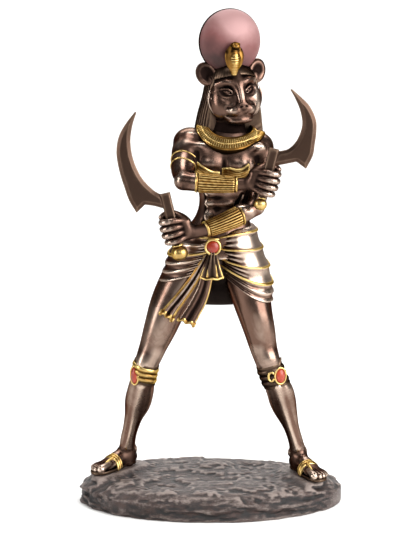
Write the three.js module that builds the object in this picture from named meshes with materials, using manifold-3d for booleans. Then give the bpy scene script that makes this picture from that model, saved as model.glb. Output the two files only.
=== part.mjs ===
// Standing lioness-headed goddess: a cold-cast figurine on a rock base, with a sickle sword in each fist.
// World frame: millimetres, +Z up, the figure faces -Y, origin on the underside of the base.
// The figure is modelled in thousandths of its own height, measured up from the soles.
import * as THREE from "three";
import Module from "manifold-3d";
import { mergeVertices } from "three/addons/utils/BufferGeometryUtils.js";

const wasm = await Module();
wasm.setup();

// Driving dimensions, in millimetres
const FIGURE_HEIGHT = 264;
const SOLE_LEVEL = 16;
const BASE_SIDE_MARGIN = 9;
const BASE_FRONT_MARGIN = 24;
const CONTACT_GAP = 0.3;
const HAFT_WIDTH = 5.6;
const HAFT_THICKNESS = 3.4;
const HAFT_CLEARANCE = 0.3;
const BLADE_THICKNESS = 2.8;
const BLADE_EDGE = 0.8;
const BEVEL_SHARE = 0.25;
const POMMEL_RADIUS_LEFT = 4.8;
const POMMEL_RADIUS_RIGHT = 3.8;
const POMMEL_THICKNESS = 6;
const POMMEL_TAPER = 0.7;
const POMMEL_OVERLAP = 1;

const HEIGHT_PARTS = 1000;
const UNIT = FIGURE_HEIGHT / HEIGHT_PARTS;
const X_AXIS = new THREE.Vector3(1, 0, 0);
const Y_AXIS = new THREE.Vector3(0, 1, 0);

// Places a point given in thousandths of the figure's height into the world
function place(x, y, z) {
  return new THREE.Vector3(x * UNIT, y * UNIT, SOLE_LEVEL + z * UNIT);
}

// The thousandths of a point in the world
function thousandths({ x, y, z }) {
  return [x / UNIT, y / UNIT, (z - SOLE_LEVEL) / UNIT];
}

// Turns a closed geometry into a solid for joining and cutting
function solid(geometry) {
  const bare = geometry.clone();
  bare.deleteAttribute("normal");
  bare.deleteAttribute("uv");
  const merged = mergeVertices(bare, 1e-4);
  return new wasm.Manifold(new wasm.Mesh({
    numProp: 3,
    vertProperties: new Float32Array(merged.getAttribute("position").array),
    triVerts: new Uint32Array(merged.getIndex().array),
  }));
}

function join(solids) {
  return solids.reduce((sum, next) => sum.add(next));
}

// Builds a named mesh from a finished solid
function meshOf(name, shape, material) {
  const result = shape.getMesh();
  const geometry = new THREE.BufferGeometry();
  geometry.setAttribute("position", new THREE.BufferAttribute(new Float32Array(result.vertProperties), 3));
  geometry.setIndex(new THREE.BufferAttribute(new Uint32Array(result.triVerts), 1));
  geometry.computeVertexNormals();
  const mesh = new THREE.Mesh(geometry, material);
  mesh.name = name;
  return mesh;
}

function smoothCurve(points, closed = false) {
  return new THREE.CatmullRomCurve3(points, closed, "catmullrom", 0.5);
}

// Joins rings of points, each with the same count, into one closed geometry with flat ends
function skin(rings) {
  const count = rings[0].length;
  const positions = [];
  const index = [];
  rings.flat().forEach((point) => positions.push(point.x, point.y, point.z));
  for (let ring = 0; ring < rings.length - 1; ring += 1) {
    for (let side = 0; side < count; side += 1) {
      const next = (side + 1) % count;
      const a = ring * count + side;
      const b = ring * count + next;
      index.push(a, b, b + count, a, b + count, a + count);
    }
  }
  const last = (rings.length - 1) * count;
  for (let side = 1; side < count - 1; side += 1) {
    index.push(0, side + 1, side);
    index.push(last, last + side, last + side + 1);
  }
  const geometry = new THREE.BufferGeometry();
  geometry.setAttribute("position", new THREE.BufferAttribute(new Float32Array(positions), 3));
  geometry.setIndex(index);
  return geometry;
}

// As skin, but the last ring joins the first, so there are no ends
function closedSkin(rings) {
  const count = rings[0].length;
  const positions = rings.flat().flatMap(({ x, y, z }) => [x, y, z]);
  const index = [];
  rings.forEach((unused, ring) => {
    const ahead = (ring + 1) % rings.length;
    for (let side = 0; side < count; side += 1) {
      const next = (side + 1) % count;
      const a = ring * count + side;
      const b = ring * count + next;
      const c = ahead * count + next;
      const d = ahead * count + side;
      index.push(a, b, c, a, c, d);
    }
  });
  const geometry = new THREE.BufferGeometry();
  geometry.setAttribute("position", new THREE.BufferAttribute(new Float32Array(positions), 3));
  geometry.setIndex(index);
  return geometry;
}

// The middle line and the girth of a limb given by stations of [x, y, z, half width, half depth]
function pathOf(stations) {
  return smoothCurve(stations.map(([x, y, z]) => new THREE.Vector3(x, y, z)));
}

function girthOf(stations) {
  return smoothCurve(stations.map(([, , , wide, deep]) => new THREE.Vector3(wide, deep, 0)));
}

// A limb or cloth roll: oval rings along its stations. The relief function gives a share of the radius.
function loft(stations, { sides = 8, steps = 1, across = X_AXIS, relief = () => 1 } = {}) {
  const path = pathOf(stations);
  const girth = girthOf(stations);
  const ringCount = (stations.length - 1) * steps;
  const rings = [];
  for (let ring = 0; ring <= ringCount; ring += 1) {
    const t = ring / ringCount;
    const centre = path.getPoint(t);
    const tangent = path.getTangent(t);
    const wideways = across.clone().addScaledVector(tangent, -across.dot(tangent)).normalize();
    const deepways = tangent.clone().cross(wideways);
    const size = girth.getPoint(t);
    const points = [];
    for (let side = 0; side < sides; side += 1) {
      const angle = (side / sides) * 2 * Math.PI;
      const swell = relief(angle, t);
      const point = centre.clone()
        .addScaledVector(wideways, Math.cos(angle) * size.x * swell)
        .addScaledVector(deepways, Math.sin(angle) * size.y * swell);
      points.push(place(point.x, point.y, point.z));
    }
    rings.push(points);
  }
  return solid(skin(rings));
}

// An oval lump, radii in thousandths, turned by degrees about X, Y and Z
function lump([x, y, z], [rx, ry, rz], [turnX, turnY, turnZ] = [0, 0, 0], detail = 1) {
  const geometry = new THREE.SphereGeometry(1, Math.round(8 * detail), Math.round(5 * detail));
  geometry.rotateX(Math.PI / 2);
  geometry.scale(rx * UNIT, ry * UNIT, rz * UNIT);
  const turns = [turnX, turnY, turnZ].map(THREE.MathUtils.degToRad);
  geometry.applyMatrix4(new THREE.Matrix4().makeRotationFromEuler(new THREE.Euler(...turns, "ZYX")));
  const centre = place(x, y, z);
  geometry.translate(centre.x, centre.y, centre.z);
  return solid(geometry);
}

// One oval of a limb at a share of its length, swollen by a thickness: a row of a band worn on it
function rowOf(stations, share, thickness) {
  const centre = pathOf(stations).getPoint(share);
  const size = girthOf(stations).getPoint(share);
  return [centre.x, centre.y, centre.z, size.x + thickness, size.y + thickness];
}

// Front of an upright oval station list at a given x and z
function frontOf(stations, x, z) {
  const sorted = [...stations].sort((one, two) => one[2] - two[2]);
  const upper = Math.max(1, sorted.findIndex((row) => row[2] >= z));
  const low = sorted[upper - 1];
  const high = sorted[upper];
  const share = THREE.MathUtils.clamp((z - low[2]) / (high[2] - low[2]), 0, 1);
  const [centreX, centreY, , wide, deep] = low.map((value, slot) => value + (high[slot] - value) * share);
  const across = THREE.MathUtils.clamp((x - centreX) / wide, -1, 1);
  return centreY - deep * Math.sqrt(1 - across * across);
}

// Body stations, [x, y, z, half width, half depth]
const TORSO = [
  [14, 14, 420, 84, 50],
  [15, 14, 452, 97, 60],
  [17, 12, 486, 90, 62],
  [22, 9, 528, 72, 54],
  [27, 6, 560, 57, 43],
  [31, 4, 590, 54, 40],
  [33, 4, 622, 60, 44],
  [34, 4, 660, 68, 49],
  [35, 4, 697, 74, 48],
  [37, 6, 722, 66, 38],
  [39, 8, 742, 40, 32],
  [41, 6, 762, 33, 33],
  [44, 2, 795, 33, 34],
];
const RIGHT_LEG = [
  [-36, 12, 470, 46, 52],
  [-66, 8, 411, 46, 50],
  [-89, 4, 366, 41, 45],
  [-107, 0, 318, 35, 38],
  [-124, -5, 275, 29, 31],
  [-137, -8, 241, 26, 28],
  [-144, 1, 208, 26, 27],
  [-150, 12, 179, 29, 30],
  [-157, 23, 149, 28, 29],
  [-166, 34, 118, 21, 23],
  [-174, 44, 86, 17, 18],
  [-180, 52, 58, 17, 18],
  [-182, 55, 30, 19, 20],
  [-183, 55, 12, 18, 20],
];
const LEFT_LEG = [
  [62, 12, 470, 46, 52],
  [83, 8, 411, 46, 50],
  [93, 1, 367, 40, 44],
  [103, -5, 325, 34, 38],
  [113, -11, 285, 30, 32],
  [124, -15, 249, 27, 29],
  [138, -11, 211, 26, 27],
  [150, -4, 183, 29, 30],
  [158, 4, 154, 28, 29],
  [167, 8, 126, 23, 24],
  [177, 11, 96, 17, 18],
  [186, 15, 66, 16, 17],
  [193, 16, 34, 18, 19],
  [194, 16, 12, 17, 19],
];
const RIGHT_ARM_UPPER = [
  [-40, 4, 716, 33, 32],
  [-48, -12, 698, 31, 31],
  [-55, -36, 678, 27, 28],
  [-57, -62, 658, 24, 25],
  [-54, -82, 646, 20, 21],
];
const RIGHT_FOREARM = [
  [-56, -83, 646, 20, 20],
  [-36, -88, 644, 20, 20],
  [0, -88, 643, 17, 19],
  [40, -87, 641, 15, 16],
  [66, -86, 641, 13, 14],
  [86, -86, 643, 15, 16],
];
const LEFT_ARM_UPPER = [
  [104, 8, 708, 30, 31],
  [108, 3, 682, 27, 30],
  [106, -8, 645, 24, 26],
  [101, -20, 610, 21, 23],
  [94, -32, 588, 19, 20],
];
const LEFT_FOREARM = [
  [95, -31, 587, 19, 19],
  [76, -46, 577, 19, 19],
  [46, -60, 564, 17, 18],
  [8, -72, 550, 15, 15],
  [-22, -80, 542, 13, 14],
  [-50, -86, 540, 14, 16],
];

function buildBody() {
  const torso = loft(TORSO, { sides: 12 });
  const breasts = [[-4, 679], [66, 677]].map(([x, z]) => lump([x, -33, z], [30, 27, 29], [-12, 0, 0]));
  const seat = [[-22, 462], [54, 462]].map(([x, z]) => lump([x, 38, z], [46, 40, 42]));
  const stomach = lump([30, -30, 590], [26, 12, 52], [4, 0, 0], 0.75);
  const shoulders = [
    lump([-37, 5, 718], [37, 34, 33], [0, 16, 0]),
    lump([95, 8, 707], [36, 34, 32], [0, -14, 0]),
  ];
  const knees = [[-137, -24, 245], [126, -31, 247]]
    .map((centre) => lump(centre, [19, 16, 22], [0, 0, 0], 0.75));
  return join([
    torso, ...breasts, ...seat, stomach, ...shoulders, ...knees,
    loft(RIGHT_LEG),
    loft(LEFT_LEG),
    loft(RIGHT_ARM_UPPER),
    loft(RIGHT_FOREARM, { across: Y_AXIS }),
    loft(LEFT_ARM_UPPER),
    loft(LEFT_FOREARM, { across: Y_AXIS }),
  ]);
}

// Feet in sandals. Heel and heading in the figure's frame; lengths run along the foot.
const FOOT_LENGTH = 132;
const SOLE_THICKNESS = 6;
const RIGHT_FOOT = { heel: [-172, 74], heading: 230, inner: 1 };
const LEFT_FOOT = { heel: [185, 34], heading: 296, inner: -1 };

// A point on a foot: along from the heel's back, sideways towards the big toe, and up
function onFoot(foot, along, sideways, up) {
  const angle = THREE.MathUtils.degToRad(foot.heading);
  const forward = new THREE.Vector2(Math.cos(angle), Math.sin(angle));
  const inward = new THREE.Vector2(-forward.y, forward.x).multiplyScalar(foot.inner);
  return [
    foot.heel[0] + forward.x * along + inward.x * sideways,
    foot.heel[1] + forward.y * along + inward.y * sideways,
    up,
  ];
}

// Outline of the sole, [along, sideways], and what it is widened about
const SOLE_OUTLINE = [
  [-4, 0], [4, 14], [34, 15], [72, 24], [112, 24], [131, 10], [122, -12], [92, -24], [50, -20], [6, -14],
];
const SOLE_MIDDLE = FOOT_LENGTH / 2;
const SOLE_HALF_WIDTH = 22;
const SOLE_POINTS = 18;
// Instep stations, [along, up, half width, half height]
const INSTEP = [
  [4, 13, 15, 12], [22, 18, 18, 17], [46, 17, 18, 16], [70, 12, 20, 11], [92, 9, 22, 7], [108, 9, 21, 5],
];
// Toes, [sideways, along, radius], and how far each stands above the ground
const TOES = [[17, 119, 9], [5, 121, 7], [-5, 117, 6.5], [-13, 111, 6], [-20, 104, 5.5]];
const TOE_LIFT = 3;
// The strap over the instep, [sideways, up]
const STRAP = [[-21, 5], [-18, 17], [0, 26], [18, 19], [22, 5]];
const STRAP_ALONG = 66;
const STRAP_HALF_THICKNESS = 4;
const STRAP_HALF_WIDTH = 7;

function footSole(foot, grow, low, high) {
  const outline = SOLE_OUTLINE.map(([along, side]) => {
    const [x, y] = onFoot(
      foot,
      SOLE_MIDDLE + (along - SOLE_MIDDLE) * (1 + grow / SOLE_MIDDLE),
      side * (1 + grow / SOLE_HALF_WIDTH),
      0,
    );
    return new THREE.Vector3(x, y, 0);
  });
  const ring = smoothCurve(outline, true).getPoints(SOLE_POINTS).slice(0, -1);
  const upward = foot.inner > 0 ? ring.reverse() : ring;
  const rings = [low, high].map((level) => upward.map(({ x, y }) => place(x, y, level)));
  return solid(skin(rings));
}

function buildFoot(foot) {
  const bare = { ...foot, heel: [0, 0] };
  const forward = new THREE.Vector3(...onFoot(bare, 1, 0, 0));
  const sideways = new THREE.Vector3(...onFoot(bare, 0, 1, 0));
  const instep = INSTEP.map(([along, up, wide, high]) => [...onFoot(foot, along, 0, up), wide, high]);
  const toes = TOES.map(([side, along, radius]) => (
    lump(onFoot(foot, along, side, radius + TOE_LIFT), [radius, radius, radius], [0, 0, 0], 0.6)
  ));
  const strap = STRAP.map(([side, up]) => (
    [...onFoot(foot, STRAP_ALONG, side, up), STRAP_HALF_THICKNESS, STRAP_HALF_WIDTH]
  ));
  return join([
    footSole(foot, 0, 0, SOLE_THICKNESS),
    loft(instep, { across: sideways }),
    ...toes,
    loft(strap, { sides: 5, across: forward }),
  ]);
}

// Head, in its own frame: x to the viewer's right, y back, z up, from the middle of the skull
const HEAD_CENTRE = [45, 10, 830];
const HEAD_YAW = 20;
const HEAD_ROLL = -5;

function headPoint([x, y, z]) {
  const [roll, yaw] = [HEAD_ROLL, HEAD_YAW].map(THREE.MathUtils.degToRad);
  const turned = new THREE.Vector3(x, y, z).applyEuler(new THREE.Euler(0, roll, yaw, "ZYX"));
  return [turned.x + HEAD_CENTRE[0], turned.y + HEAD_CENTRE[1], turned.z + HEAD_CENTRE[2]];
}

function headLump(centre, radii, [turnX, turnY, turnZ] = [0, 0, 0], detail = 1) {
  return lump(headPoint(centre), radii, [turnX, turnY + HEAD_ROLL, turnZ + HEAD_YAW], detail);
}

function buildHead() {
  const parts = [
    headLump([0, -4, 2], [46, 46, 48], [0, 0, 0], 1.25),
    headLump([0, -15, -14], [53, 33, 45], [0, 0, 0], 1.25),
    headLump([0, -43, -36], [27, 22, 20]),
    headLump([0, -46, -56], [18, 15, 9], [0, 0, 0], 0.75),
    headLump([0, -50, -2], [10, 14, 30], [24, 0, 0], 0.75),
    headLump([0, -62, -28], [11, 8, 7], [0, 0, 0], 0.75),
  ];
  [-1, 1].forEach((side) => {
    parts.push(headLump([side * 13, -53, -38], [14, 12, 11], [0, 0, 0], 0.75));
    parts.push(headLump([side * 22, -40, 20], [18, 12, 6], [0, side * -8, side * 22], 0.75));
    parts.push(headLump([side * 25, -42, 4], [9, 7, 4], [0, side * -8, side * 26], 0.6));
  });
  return join(parts);
}

function buildEars() {
  const ears = [[-1, 55], [1, 60]].map(([side, reach]) => {
    const turns = [-6, side * 24, side * 14];
    const shell = headLump([side * reach, -2, 38], [22, 10, 26], turns);
    const hollow = headLump([side * (reach + 2), -12, 40], [14, 8, 17], turns);
    return shell.subtract(hollow);
  });
  return join(ears);
}

// The wig falls behind the shoulders in fine locks
const WIG = [
  [41, 26, 668, 52, 22],
  [42, 26, 700, 70, 34],
  [40, 24, 738, 74, 44],
  [41, 22, 775, 69, 50],
  [43, 19, 812, 61, 54],
  [45, 17, 848, 55, 54],
  [44, 15, 872, 44, 46],
  [42, 12, 888, 24, 26],
];
const WIG_LOCKS = 10;
const LOCK_DEPTH = 0.035;

function buildWig() {
  const locks = (angle, t) => 1 + LOCK_DEPTH * Math.cos(angle * WIG_LOCKS) * (1 - t);
  const whole = loft(WIG, { sides: WIG_LOCKS * 2, relief: locks });
  const faceOpening = join([
    headLump([0, -66, -14], [47, 44, 62], [0, 0, 0], 1.3),
    lump([42, -54, 730], [44, 48, 60]),
  ]);
  return whole.subtract(faceOpening);
}

// Sun disc: a thick lens in a narrow rim, turned with the head
const DISC_RADIUS = 69;
const DISC_BULGE = 30;
const DISC_RIM = 9;
const DISC_FACE_SHARE = 0.96;
const DISC_ROUNDING_SHARE = 0.93;
const DISC_STEPS = 3;
const DISC_SIDES = 20;
const DISC_CENTRE = [41, 8, HEIGHT_PARTS - DISC_RADIUS];

function buildDisc() {
  const profile = [new THREE.Vector2(0, -DISC_BULGE)];
  for (let step = 1; step <= DISC_STEPS; step += 1) {
    const share = step / DISC_STEPS;
    const lift = DISC_BULGE * Math.sqrt(1 - (share * DISC_ROUNDING_SHARE) ** 2);
    profile.push(new THREE.Vector2(share * DISC_RADIUS * DISC_FACE_SHARE, -lift));
  }
  profile.push(new THREE.Vector2(DISC_RADIUS, -DISC_RIM));
  const mirrored = [...profile].reverse().map(({ x, y }) => new THREE.Vector2(x, -y));
  const geometry = new THREE.LatheGeometry([...profile, ...mirrored], DISC_SIDES);
  geometry.scale(UNIT, UNIT, UNIT);
  geometry.rotateZ(THREE.MathUtils.degToRad(HEAD_YAW));
  const centre = place(...DISC_CENTRE);
  geometry.translate(centre.x, centre.y, centre.z);
  return solid(geometry);
}

// The cobra rears from the brow, in the head's frame: [x, y, z, half width, half depth]
const COBRA = [[-7, -40, 40, 8, 7], [-5, -44, 56, 17, 7], [-4, -46, 76, 20, 7], [-2, -46, 92, 12, 6]];
const COBRA_HEAD = [-1, -50, 98];

function buildCobra() {
  const body = COBRA.map(([x, y, z, wide, deep]) => [...headPoint([x, y, z]), wide, deep]);
  return join([loft(body, { sides: 6, steps: 2 }), headLump(COBRA_HEAD, [8, 10, 7])]);
}

// Broad collar: a ring from the neck down over the chest, set at every angle around the neck
const COLLAR_THICKNESS = 5;
const COLLAR_SEGMENTS = 22;
const COLLAR_SLOPE = 0.9;
const COLLAR_NECK = { x: 42, y: 4, wide: 38, deep: 38, top: 764, drop: 31, curve: 2 };
const COLLAR_CHEST = { x: 40, y: 6, wide: 71, deep: 56, top: 748, drop: 43, curve: 1.5 };

// A point on one edge of the collar, lowest at the front
function collarPoint({ x, y, wide, deep, top, drop, curve }, angle) {
  const front = (1 - Math.sin(angle)) / 2;
  return new THREE.Vector3(x + wide * Math.cos(angle), y + deep * Math.sin(angle), top - drop * front ** curve);
}

function buildCollar() {
  const rings = [];
  for (let segment = 0; segment < COLLAR_SEGMENTS; segment += 1) {
    const angle = (segment / COLLAR_SEGMENTS) * 2 * Math.PI;
    const outward = new THREE.Vector3(Math.cos(angle), Math.sin(angle), 0);
    const lift = new THREE.Vector3(0, 0, 1).addScaledVector(outward, COLLAR_SLOPE).setLength(COLLAR_THICKNESS);
    const inner = collarPoint(COLLAR_NECK, angle);
    const outer = collarPoint(COLLAR_CHEST, angle);
    rings.push([
      inner.clone().addScaledVector(outward, -12).setZ(inner.z - 14),
      inner.clone().add(lift),
      inner.clone().lerp(outer, 0.5).add(lift),
      outer.clone().add(lift),
      outer,
      outer.clone().addScaledVector(outward, -30).setZ(outer.z - 6),
    ].map(({ x, y, z }) => place(x, y, z)));
  }
  return solid(closedSkin(rings));
}

// Bracers are fluted along the forearm, between two plain rims. Shares run along the forearm.
const BRACER_FLUTES = 10;
const BRACER_FLUTE_DEPTH = 0.06;
const BRACER_THICKNESS = 3;
const BRACER_RIM_THICKNESS = 5;
const BRACER_RIM_SHARE = 0.03;
const BRACER_STEP_SHARE = 0.002;
const ARMLET_THICKNESS = 2.5;

function bracer(stations, from, to) {
  const shoulder = BRACER_RIM_SHARE + BRACER_STEP_SHARE;
  const rows = [
    [from, BRACER_RIM_THICKNESS],
    [from + BRACER_RIM_SHARE, BRACER_RIM_THICKNESS],
    [from + shoulder, BRACER_THICKNESS],
    [to - shoulder, BRACER_THICKNESS],
    [to - BRACER_RIM_SHARE, BRACER_RIM_THICKNESS],
    [to, BRACER_RIM_THICKNESS],
  ].map(([share, thickness]) => rowOf(stations, share, thickness));
  const fluted = (t) => Math.abs(t - 0.5) < 0.2;
  return loft(rows, {
    sides: BRACER_FLUTES * 2,
    across: Y_AXIS,
    relief: (angle, t) => (fluted(t) ? 1 + BRACER_FLUTE_DEPTH * Math.cos(angle * BRACER_FLUTES) : 1),
  });
}

function armlet(stations, from, to) {
  return loft([from, to].map((share) => rowOf(stations, share, ARMLET_THICKNESS)));
}

// A knee garter: raised cords round the leg, and an oval stone in a rim
const GARTER_CORDS = 3;
const GARTER_CORD_THICKNESS = 5;
const GARTER_BAND_THICKNESS = 2;
const STONE_RIM = 4;
const STONE_STAND = 3;

function garter(leg, low, high, stone, [wide, deep, tall]) {
  const rows = Array.from({ length: GARTER_CORDS * 2 + 1 }, (unused, row) => {
    const share = low + ((high - low) * row) / (GARTER_CORDS * 2);
    return rowOf(leg, share, row % 2 ? GARTER_CORD_THICKNESS : GARTER_BAND_THICKNESS);
  });
  const rim = new THREE.CylinderGeometry(1, 1, 2 * deep * UNIT, 8);
  rim.scale((wide + STONE_RIM) * UNIT, 1, (tall + STONE_RIM) * UNIT);
  const centre = place(stone[0], stone[1] + STONE_RIM, stone[2]);
  rim.translate(centre.x, centre.y, centre.z);
  return join([loft(rows), lump(stone, [wide, deep + STONE_STAND, tall]), solid(rim)]);
}

function buildBands() {
  return join([
    bracer(RIGHT_FOREARM, 0.3, 0.74),
    bracer(LEFT_FOREARM, 0.27, 0.72),
    armlet(RIGHT_ARM_UPPER, 0.32, 0.5),
    armlet(LEFT_ARM_UPPER, 0.42, 0.6),
    garter(RIGHT_LEG, 0.385, 0.465, [-160, -20, 219], [9, 8, 21]),
    garter(LEFT_LEG, 0.41, 0.49, [150, -36, 224], [13, 8, 21]),
  ]);
}

// Skirt: each thigh wrapped in its own layer, whose rows follow the folds of the drape.
// Ovals of the layer, [x, y, z, half width, half depth]
const SKIRT_RIGHT = {
  outer: -1,
  sag: 1.2,
  ovals: [
    [6, 10, 545, 54, 52], [-21, 11, 495, 60, 64], [-35, 10, 470, 56, 60], [-48, 9, 443, 51, 56],
    [-61, 8, 417, 49, 54], [-73, 6, 385, 46, 50],
  ],
  folds: [[512, 520, 536], [499, 485, 500], [488, 457, 476], [473, 433, 450], [454, 417, 424]],
};
const SKIRT_LEFT = {
  outer: 1,
  sag: 2.2,
  ovals: [
    [41, 10, 545, 53, 52], [51, 11, 497, 58, 64], [68, 9, 457, 56, 60], [78, 8, 430, 52, 56],
    [86, 5, 404, 48, 53], [91, 2, 370, 42, 48],
  ],
  folds: [[512, 532, 538], [502, 495, 508], [490, 455, 476], [480, 418, 446], [468, 399, 414], [452, 379, 384]],
};
const FOLD_HEIGHT = 4.5;
const FOLD_HALF_WIDTH = 7;
const SKIRT_SIDES = 14;

// The oval of a layer at a height, between its stations
function ovalAt(ovals, z) {
  const upper = ovals.findIndex((row) => row[2] <= z);
  const next = upper < 0 ? ovals.length - 1 : Math.max(upper, 1);
  const [high, low] = [ovals[next - 1], ovals[next]];
  const share = THREE.MathUtils.clamp((high[2] - z) / (high[2] - low[2]), 0, 1);
  return high.map((value, slot) => value + (low[slot] - value) * share);
}

const KNOT_NARROWING = 0.4;
const END_SHRINK = 0.7;

// Height of a fold's line at an angle round the thigh: from the side it runs to the knot at the front
// and to its own level at the back
function foldHeight({ knot, side, back }, angle, sag) {
  const inward = ((1 - Math.cos(angle)) / 2) ** sag;
  const behind = Math.max(0, -Math.sin(angle));
  return side + (knot - side) * inward * (1 - behind) + (back - side) * behind;
}

function skirtLayer({ outer, sag, ovals, folds }) {
  const rows = folds.flatMap(([knot, side, back]) => [-0.5, 0.5].map((step) => ({
    knot: knot - step * FOLD_HALF_WIDTH * KNOT_NARROWING,
    side: side - step * FOLD_HALF_WIDTH,
    back: back - step * FOLD_HALF_WIDTH,
    swell: step < 0 ? 0 : FOLD_HEIGHT,
    shrink: 1,
  })));
  rows.unshift({ ...rows[0], shrink: END_SHRINK });
  rows.push({ ...rows[rows.length - 1], shrink: END_SHRINK });
  const rings = rows.map((row) => {
    const points = [];
    for (let step = 0; step < SKIRT_SIDES; step += 1) {
      const angle = (step / SKIRT_SIDES) * 2 * Math.PI;
      const z = foldHeight(row, angle, sag);
      const [centreX, centreY, , wide, deep] = ovalAt(ovals, z);
      points.push(place(
        centreX + outer * (wide * row.shrink + row.swell) * Math.cos(angle),
        centreY - (deep * row.shrink + row.swell) * Math.sin(angle),
        z,
      ));
    }
    return outer > 0 ? points : points.reverse();
  });
  return solid(skin(rings));
}

function buildSkirt() {
  return join([skirtLayer(SKIRT_RIGHT), skirtLayer(SKIRT_LEFT)]);
}

// The sash: two ends hang to the right from a flared knot at the front, each [x, z, half width] in rows
const SASH_ENDS = [
  [[-4, 488, 8], [-23, 452, 12], [-42, 420, 14], [-63, 393, 16], [-80, 372, 18], [-92, 354, 20]],
  [[2, 486, 8], [-6, 450, 12], [-15, 415, 14], [-25, 387, 16], [-40, 362, 18], [-54, 340, 20]],
];
const SASH_HALF_THICKNESS = 6;
const SASH_NEAREST = -48;
const KNOT = [[6, -58, 500, 8, 10], [5, -62, 478, 13, 10], [4, -63, 458, 20, 9], [4, -62, 441, 23, 7]];
const BACK_PANEL = [[14, 64, 500, 40, 12], [16, 62, 450, 44, 12], [20, 56, 400, 46, 9], [22, 54, 364, 48, 6]];
const BELT_STONE = [6, -62, 505];

// Ripples round a cloth roll
function pleats(count, depth) {
  return (angle) => 1 + depth * Math.cos(angle * count);
}

function buildSash() {
  const ends = SASH_ENDS.map((rows) => {
    const stations = rows.map(([x, z, wide], index) => {
      const clearOfLeg = frontOf(RIGHT_LEG, x, z) - SASH_HALF_THICKNESS / 2;
      return [x, Math.min(SASH_NEAREST, clearOfLeg) - index, z, wide, SASH_HALF_THICKNESS];
    });
    return loft(stations, { sides: 6, relief: pleats(3, 0.12) });
  });
  return join([
    ...ends,
    loft(KNOT, { sides: 12, relief: pleats(6, 0.12) }),
    loft(BACK_PANEL, { sides: 12, relief: pleats(6, 0.05) }),
    lump(BELT_STONE, [17, 10, 17]),
  ]);
}

// The hem of the close-fitting top, a raised edge under each breast: points are [x, z]
const TOP_HEMS = [
  { middle: -4, points: [[-30, 668], [-22, 656], [-4, 650], [16, 656], [30, 668]] },
  { middle: 66, points: [[32, 668], [46, 655], [66, 649], [86, 655], [94, 666]] },
];
const HEM_RADIUS = 4;
const HEM_BACK = -36;
const HEM_SWELL = 18;
const HEM_REACH = 40;

function buildTop() {
  return join(TOP_HEMS.map(({ middle, points }) => loft(points.map(([x, z]) => {
    const nearness = 1 - ((x - middle) / HEM_REACH) ** 2;
    return [x, HEM_BACK - HEM_SWELL * nearness, z, HEM_RADIUS, HEM_RADIUS];
  }), { sides: 5, across: Y_AXIS })));
}

// A sword's own frame: origin in the fist, u up along the haft, v towards the blade, in thousandths.
// Each row of the blade pairs a point [u, v] on the hollow edge with one on the bowed edge, from the
// haft to the tip. The notch behind the spur is cut out of it.
const SWORD_LEFT = {
  grip: [-75, -87, 545],
  lean: -13.5,
  bladeSide: -1,
  haftTop: 80,
  haftBottom: 40,
  pommel: POMMEL_RADIUS_LEFT,
  blade: [
    [[47, 4], [53, 67]], [[74, 6], [82, 76]], [[92, 22], [112, 79]], [[122, 39], [146, 81]],
    [[162, 47], [184, 78]], [[200, 44], [215, 66]], [[232, 32], [238, 46]], [[257, 17], [259, 20]],
  ],
  notch: [[53, 68], [66, 46], [59, 28], [48, 8], [32, 36]],
};
const SWORD_RIGHT = {
  grip: [116, -87, 646],
  lean: 13.8,
  bladeSide: 1,
  haftTop: 72,
  haftBottom: 40,
  pommel: POMMEL_RADIUS_RIGHT,
  blade: [
    [[35, 4], [46, 74]], [[64, 6], [76, 81]], [[78, 28], [102, 79]], [[100, 41], [126, 76]],
    [[132, 44], [150, 69]], [[160, 33], [174, 50]], [[183, 16], [188, 28]], [[198, 2], [200, 5]],
  ],
  notch: [[46, 75], [56, 51], [47, 32], [36, 8], [20, 40]],
};

// A matrix from a sword's own frame (v, u, thickness) to the world
function swordFrame(sword) {
  const lean = THREE.MathUtils.degToRad(sword.lean);
  const up = new THREE.Vector3(Math.sin(lean), 0, Math.cos(lean));
  const blade = new THREE.Vector3(Math.cos(lean), 0, -Math.sin(lean)).multiplyScalar(sword.bladeSide);
  const normal = blade.clone().cross(up);
  return new THREE.Matrix4().makeBasis(blade, up, normal).setPosition(place(...sword.grip));
}

// A flat plate of even thickness in a sword's frame, centred on its plane
function plate(sword, points, thickness) {
  const shape = new THREE.Shape(points);
  const geometry = new THREE.ExtrudeGeometry(shape, { depth: thickness, bevelEnabled: false, steps: 1 });
  geometry.translate(0, 0, -thickness / 2);
  geometry.applyMatrix4(swordFrame(sword));
  return solid(geometry);
}

function haftPlate(sword, clearance, top, bottom) {
  const half = HAFT_WIDTH / 2 + clearance;
  const corners = [[-half, -bottom], [half, -bottom], [half, top], [-half, top]];
  return plate(sword, corners.map(([v, u]) => new THREE.Vector2(v, u)), HAFT_THICKNESS + 2 * clearance);
}

function buildBlade(sword) {
  const line = (points) => smoothCurve(points.map(([u, v]) => new THREE.Vector3(v * UNIT, u * UNIT, 0)));
  const hollow = line(sword.blade.map(([near]) => near));
  const bowed = line(sword.blade.map(([, far]) => far));
  const frame = swordFrame(sword);
  const ringCount = (sword.blade.length - 1) * 2;
  const edge = BLADE_EDGE / 2;
  const rings = [];
  for (let ring = 0; ring <= ringCount; ring += 1) {
    const near = hollow.getPoint(ring / ringCount);
    const far = bowed.getPoint(ring / ringCount);
    const flat = Math.min(BLADE_THICKNESS / 2, near.distanceTo(far) * BEVEL_SHARE + edge);
    const corners = [
      [1, -edge], [1 - BEVEL_SHARE, -flat], [BEVEL_SHARE, -flat], [0, -edge],
      [0, edge], [BEVEL_SHARE, flat], [1 - BEVEL_SHARE, flat], [1, edge],
    ];
    rings.push(corners.map(([share, lift]) => near.clone().lerp(far, share).setZ(lift).applyMatrix4(frame)));
  }
  const notch = sword.notch.map(([u, v]) => new THREE.Vector2(v * UNIT, u * UNIT));
  return solid(skin(rings)).subtract(plate(sword, notch, BLADE_THICKNESS * 2));
}

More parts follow.
